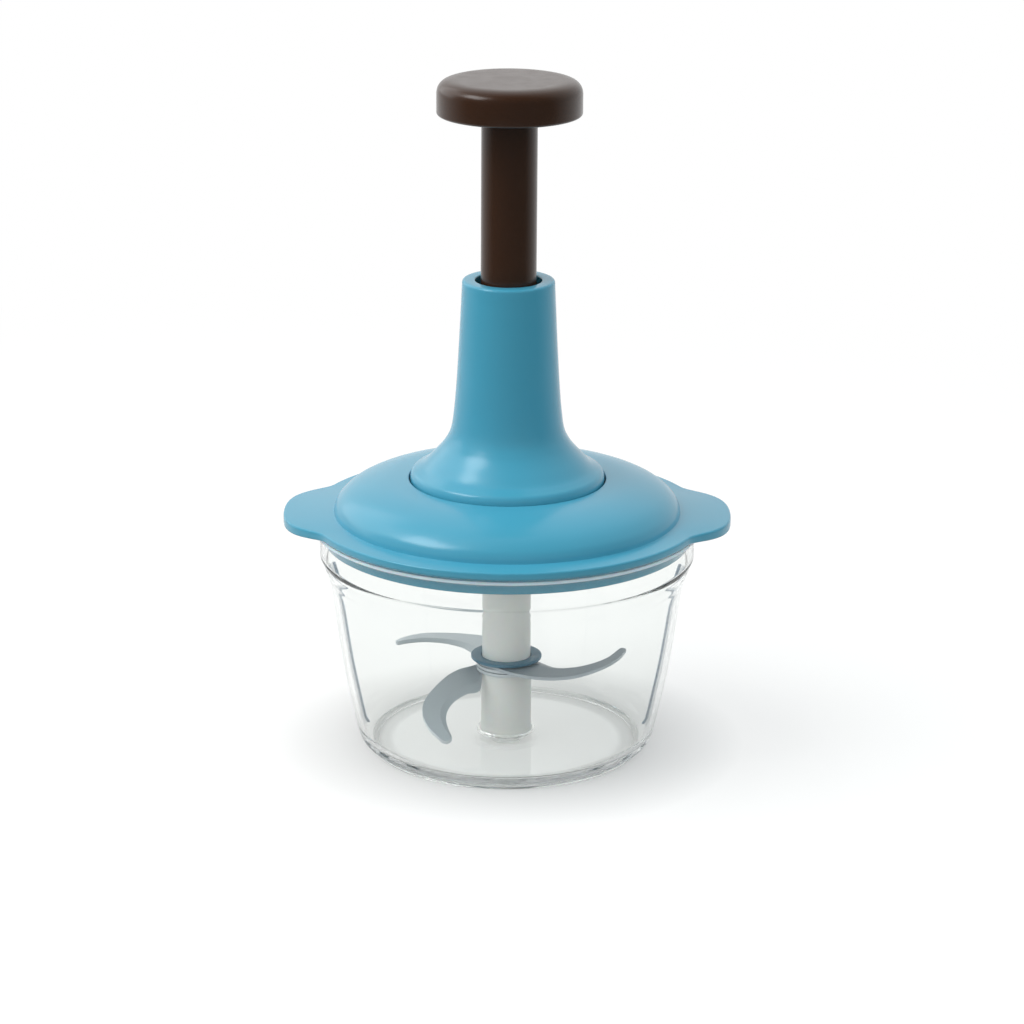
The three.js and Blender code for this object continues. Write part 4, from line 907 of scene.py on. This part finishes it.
def makeFloor(look):
    bm = bmesh.new()
    bmesh.ops.create_circle(bm, cap_ends=True, segments=96, radius=look["radius"],
                            matrix=Matrix.Translation((0, 0, -look["dropMm"] * mm)))
    floor = looseObject(bm, "floor")
    material = newMaterial("white paper floor")
    place = addNode(material, "ShaderNodeTexCoord").outputs["Object"]
    outward = addNode(material, "ShaderNodeVectorMath", {0: place}, operation="NORMALIZE")
    parts = addNode(material, "ShaderNodeSeparateXYZ", {0: outward.outputs[0]})
    dim = addNode(material, "ShaderNodeMapRange", {
        "Value": parts.outputs["Y"], "From Min": look["turn"][0], "From Max": look["turn"][1],
        "To Min": look["frontGloss"], "To Max": 1.0})
    aside = addNode(material, "ShaderNodeMath", {0: parts.outputs["X"]}, operation="ABSOLUTE")
    card = addNode(material, "ShaderNodeMapRange", {
        "Value": aside.outputs[0], "From Min": look["cardTurn"][0], "From Max": look["cardTurn"][1],
        "To Min": 0.0, "To Max": look["card"]})
    away = addNode(material, "ShaderNodeVectorMath", {0: place}, operation="LENGTH")
    reach = addNode(material, "ShaderNodeMapRange", {
        "Value": away.outputs["Value"], "From Min": look["cardReach"][0], "From Max": look["cardReach"][1],
        "To Min": 1.0, "To Max": 0.0})
    gloss = addNode(material, "ShaderNodeMath", {
        0: card.outputs[0], 1: reach.outputs[0], 2: dim.outputs[0]}, operation="MULTIPLY_ADD")
    seen = seenStrength(material, gloss.outputs[0])
    # Painted contact shadow: the lift is dimmed round the foot and under the bowl.
    beside = addNode(material, "ShaderNodeMapRange", {
        "Value": away.outputs["Value"], "From Min": look["contact"][0], "From Max": look["contact"][1],
        "To Min": look["contact"][2], "To Max": 1.0})
    under = addNode(material, "ShaderNodeMapRange", {
        "Value": away.outputs["Value"], "From Min": look["under"][0], "From Max": look["under"][1],
        "To Min": look["under"][2], "To Max": 0.0})
    shade = addNode(material, "ShaderNodeMath", {0: beside.outputs[0], 1: under.outputs[0]},
                    operation="MAXIMUM")
    dimmed = addNode(material, "ShaderNodeMath", {0: seen.outputs[0], 1: shade.outputs[0]},
                     operation="MULTIPLY")
    lift = addNode(material, "ShaderNodeMath", {0: dimmed.outputs[0], 1: look["lift"]},
                   operation="MULTIPLY")
    paper = addNode(material, "ShaderNodeBsdfDiffuse", {"Color": linearColour(look["colour"])})
    glow = addNode(material, "ShaderNodeEmission", {"Strength": lift.outputs[0]})
    near = addNode(material, "ShaderNodeAddShader", {0: paper.outputs[0], 1: glow.outputs[0]})
    fade = addNode(material, "ShaderNodeMapRange", {
        "Value": away.outputs["Value"], "From Min": look["fade"][0], "From Max": look["fade"][1]},
        interpolation_type="SMOOTHSTEP")
    far = addNode(material, "ShaderNodeEmission", {"Strength": seen.outputs[0]})
    both = addNode(material, "ShaderNodeMixShader", {
        0: fade.outputs[0], 1: near.outputs[0], 2: far.outputs[0]})
    addNode(material, "ShaderNodeOutputMaterial", {"Surface": both.outputs[0]})
    floor.data.materials.append(material)


makeFloor(floorLook)

# Surround: white to the camera and clear walls. Gloss sees it dark in front of the object, as a studio
# is, and diffuse light comes more from the sides than from overhead.
worldLook = {"gloss": (0.065, 0.95), "turn": (-0.3, 1.0), "side": 1.12, "overhead": 0.46,
             "rise": (0.1, 0.75)}


def makeWorld(look):
    world = bpy.data.worlds.new("white surround")
    world.use_nodes = True
    world.node_tree.nodes.clear()
    parts = addNode(world, "ShaderNodeSeparateXYZ", {
        0: addNode(world, "ShaderNodeTexCoord").outputs["Generated"]})
    dim = addNode(world, "ShaderNodeMapRange", {
        "Value": parts.outputs["Y"], "From Min": look["turn"][0], "From Max": look["turn"][1],
        "To Min": look["gloss"][0], "To Max": look["gloss"][1]})
    seen = seenStrength(world, dim.outputs[0])
    fill = addNode(world, "ShaderNodeMapRange", {
        "Value": parts.outputs["Z"], "From Min": look["rise"][0], "From Max": look["rise"][1],
        "To Min": look["side"], "To Max": look["overhead"]})
    path = addNode(world, "ShaderNodeLightPath")
    diffuse = addNode(world, "ShaderNodeMath", {
        0: path.outputs["Is Diffuse Ray"], 1: fill.outputs[0]}, operation="MULTIPLY")
    strength = addNode(world, "ShaderNodeMath", {0: seen.outputs[0], 1: diffuse.outputs[0]},
                       operation="MAXIMUM")
    glow = addNode(world, "ShaderNodeBackground", {
        "Color": (1, 1, 1, 1), "Strength": strength.outputs[0]})
    addNode(world, "ShaderNodeOutputWorld", {"Surface": glow.outputs[0]})
    bpy.context.scene.world = world


makeWorld(worldLook)

# Softboxes: bearing in degrees from the camera's side (minus is left), height angle, metres away, size
# and watts. Two of them are seen by gloss alone, and the other three light the object without a glint.
lampLooks = {
    "key softbox": {"bearing": -78, "height": 57, "away": 1.3, "size": (1.05, 0.85), "watts": 12,
                    "inGloss": False},
    "highlight": {"bearing": -72, "height": 49, "away": 1.3, "size": (0.64, 0.46), "watts": 3.2,
                  "inDiffuse": False},
    "left glow": {"bearing": -125, "height": 28, "away": 1.4, "size": (1.2, 1.0), "watts": 2.6,
                  "inDiffuse": False},
    "low fill": {"bearing": -68, "height": 24, "away": 1.4, "size": (1.2, 0.9), "watts": 4.0,
                 "inGloss": False},
    "fill softbox": {"bearing": 82, "height": 50, "away": 1.4, "size": (1.2, 1.0), "watts": 3.6,
                     "colour": (0.8, 1.0, 1.1), "inGloss": False},
}
aimPoint = Vector((0, 0, 0.11))


def makeLamp(name, look):
    light = bpy.data.lights.new(name, "AREA")
    light.shape = "RECTANGLE"
    light.size, light.size_y = look["size"]
    light.energy = look["watts"]
    light.color = look.get("colour", (1, 1, 1))
    lamp = bpy.data.objects.new(name, light)
    lamp.visible_glossy = look.get("inGloss", True)
    lamp.visible_diffuse = look.get("inDiffuse", True)
    bpy.context.scene.collection.objects.link(lamp)
    bearing, height = math.radians(look["bearing"]), math.radians(look["height"])
    out = Vector((math.sin(bearing) * math.cos(height), -math.cos(bearing) * math.cos(height),
                  math.sin(height)))
    lamp.location = aimPoint + out * look["away"]
    lamp.rotation_euler = out.to_track_quat("Z", "Y").to_euler()


for lampName, lampLook in lampLooks.items():
    makeLamp(lampName, lampLook)

# Camera at the photograph's angle, found from the ellipses of the knob, lid and bowl.
cameraLook = {"place": (1.8, -1276.4, 497.4), "pitch": 17.686, "roll": 0.384, "focalPixels": 3600,
              "imagePixels": 1024, "sensor": 36}


def makeCamera(look):
    data = bpy.data.cameras.new("camera")
    data.sensor_width = look["sensor"]
    data.lens = look["sensor"] * look["focalPixels"] / look["imagePixels"]
    camera = bpy.data.objects.new("camera", data)
    bpy.context.scene.collection.objects.link(camera)
    camera.matrix_world = (Matrix.Translation(Vector(look["place"]) * mm)
                           @ Matrix.Rotation(math.radians(90 - look["pitch"]), 4, "X")
                           @ Matrix.Rotation(math.radians(look["roll"]), 4, "Z"))
    bpy.context.scene.camera = camera


makeCamera(cameraLook)

scene = bpy.context.scene
scene.view_settings.view_transform = "Standard"
# Light runs along inside the clear walls and floor, so it needs many bounces to come out again.
clearBounces = 64
scene.cycles.max_bounces = clearBounces
scene.cycles.transmission_bounces = clearBounces
scene.cycles.glossy_bounces = clearBounces
scene.cycles.transparent_max_bounces = 32
scene.cycles.caustics_reflective = False
scene.cycles.caustics_refractive = False

bpy.context.view_layer.update()
print("scene ready")
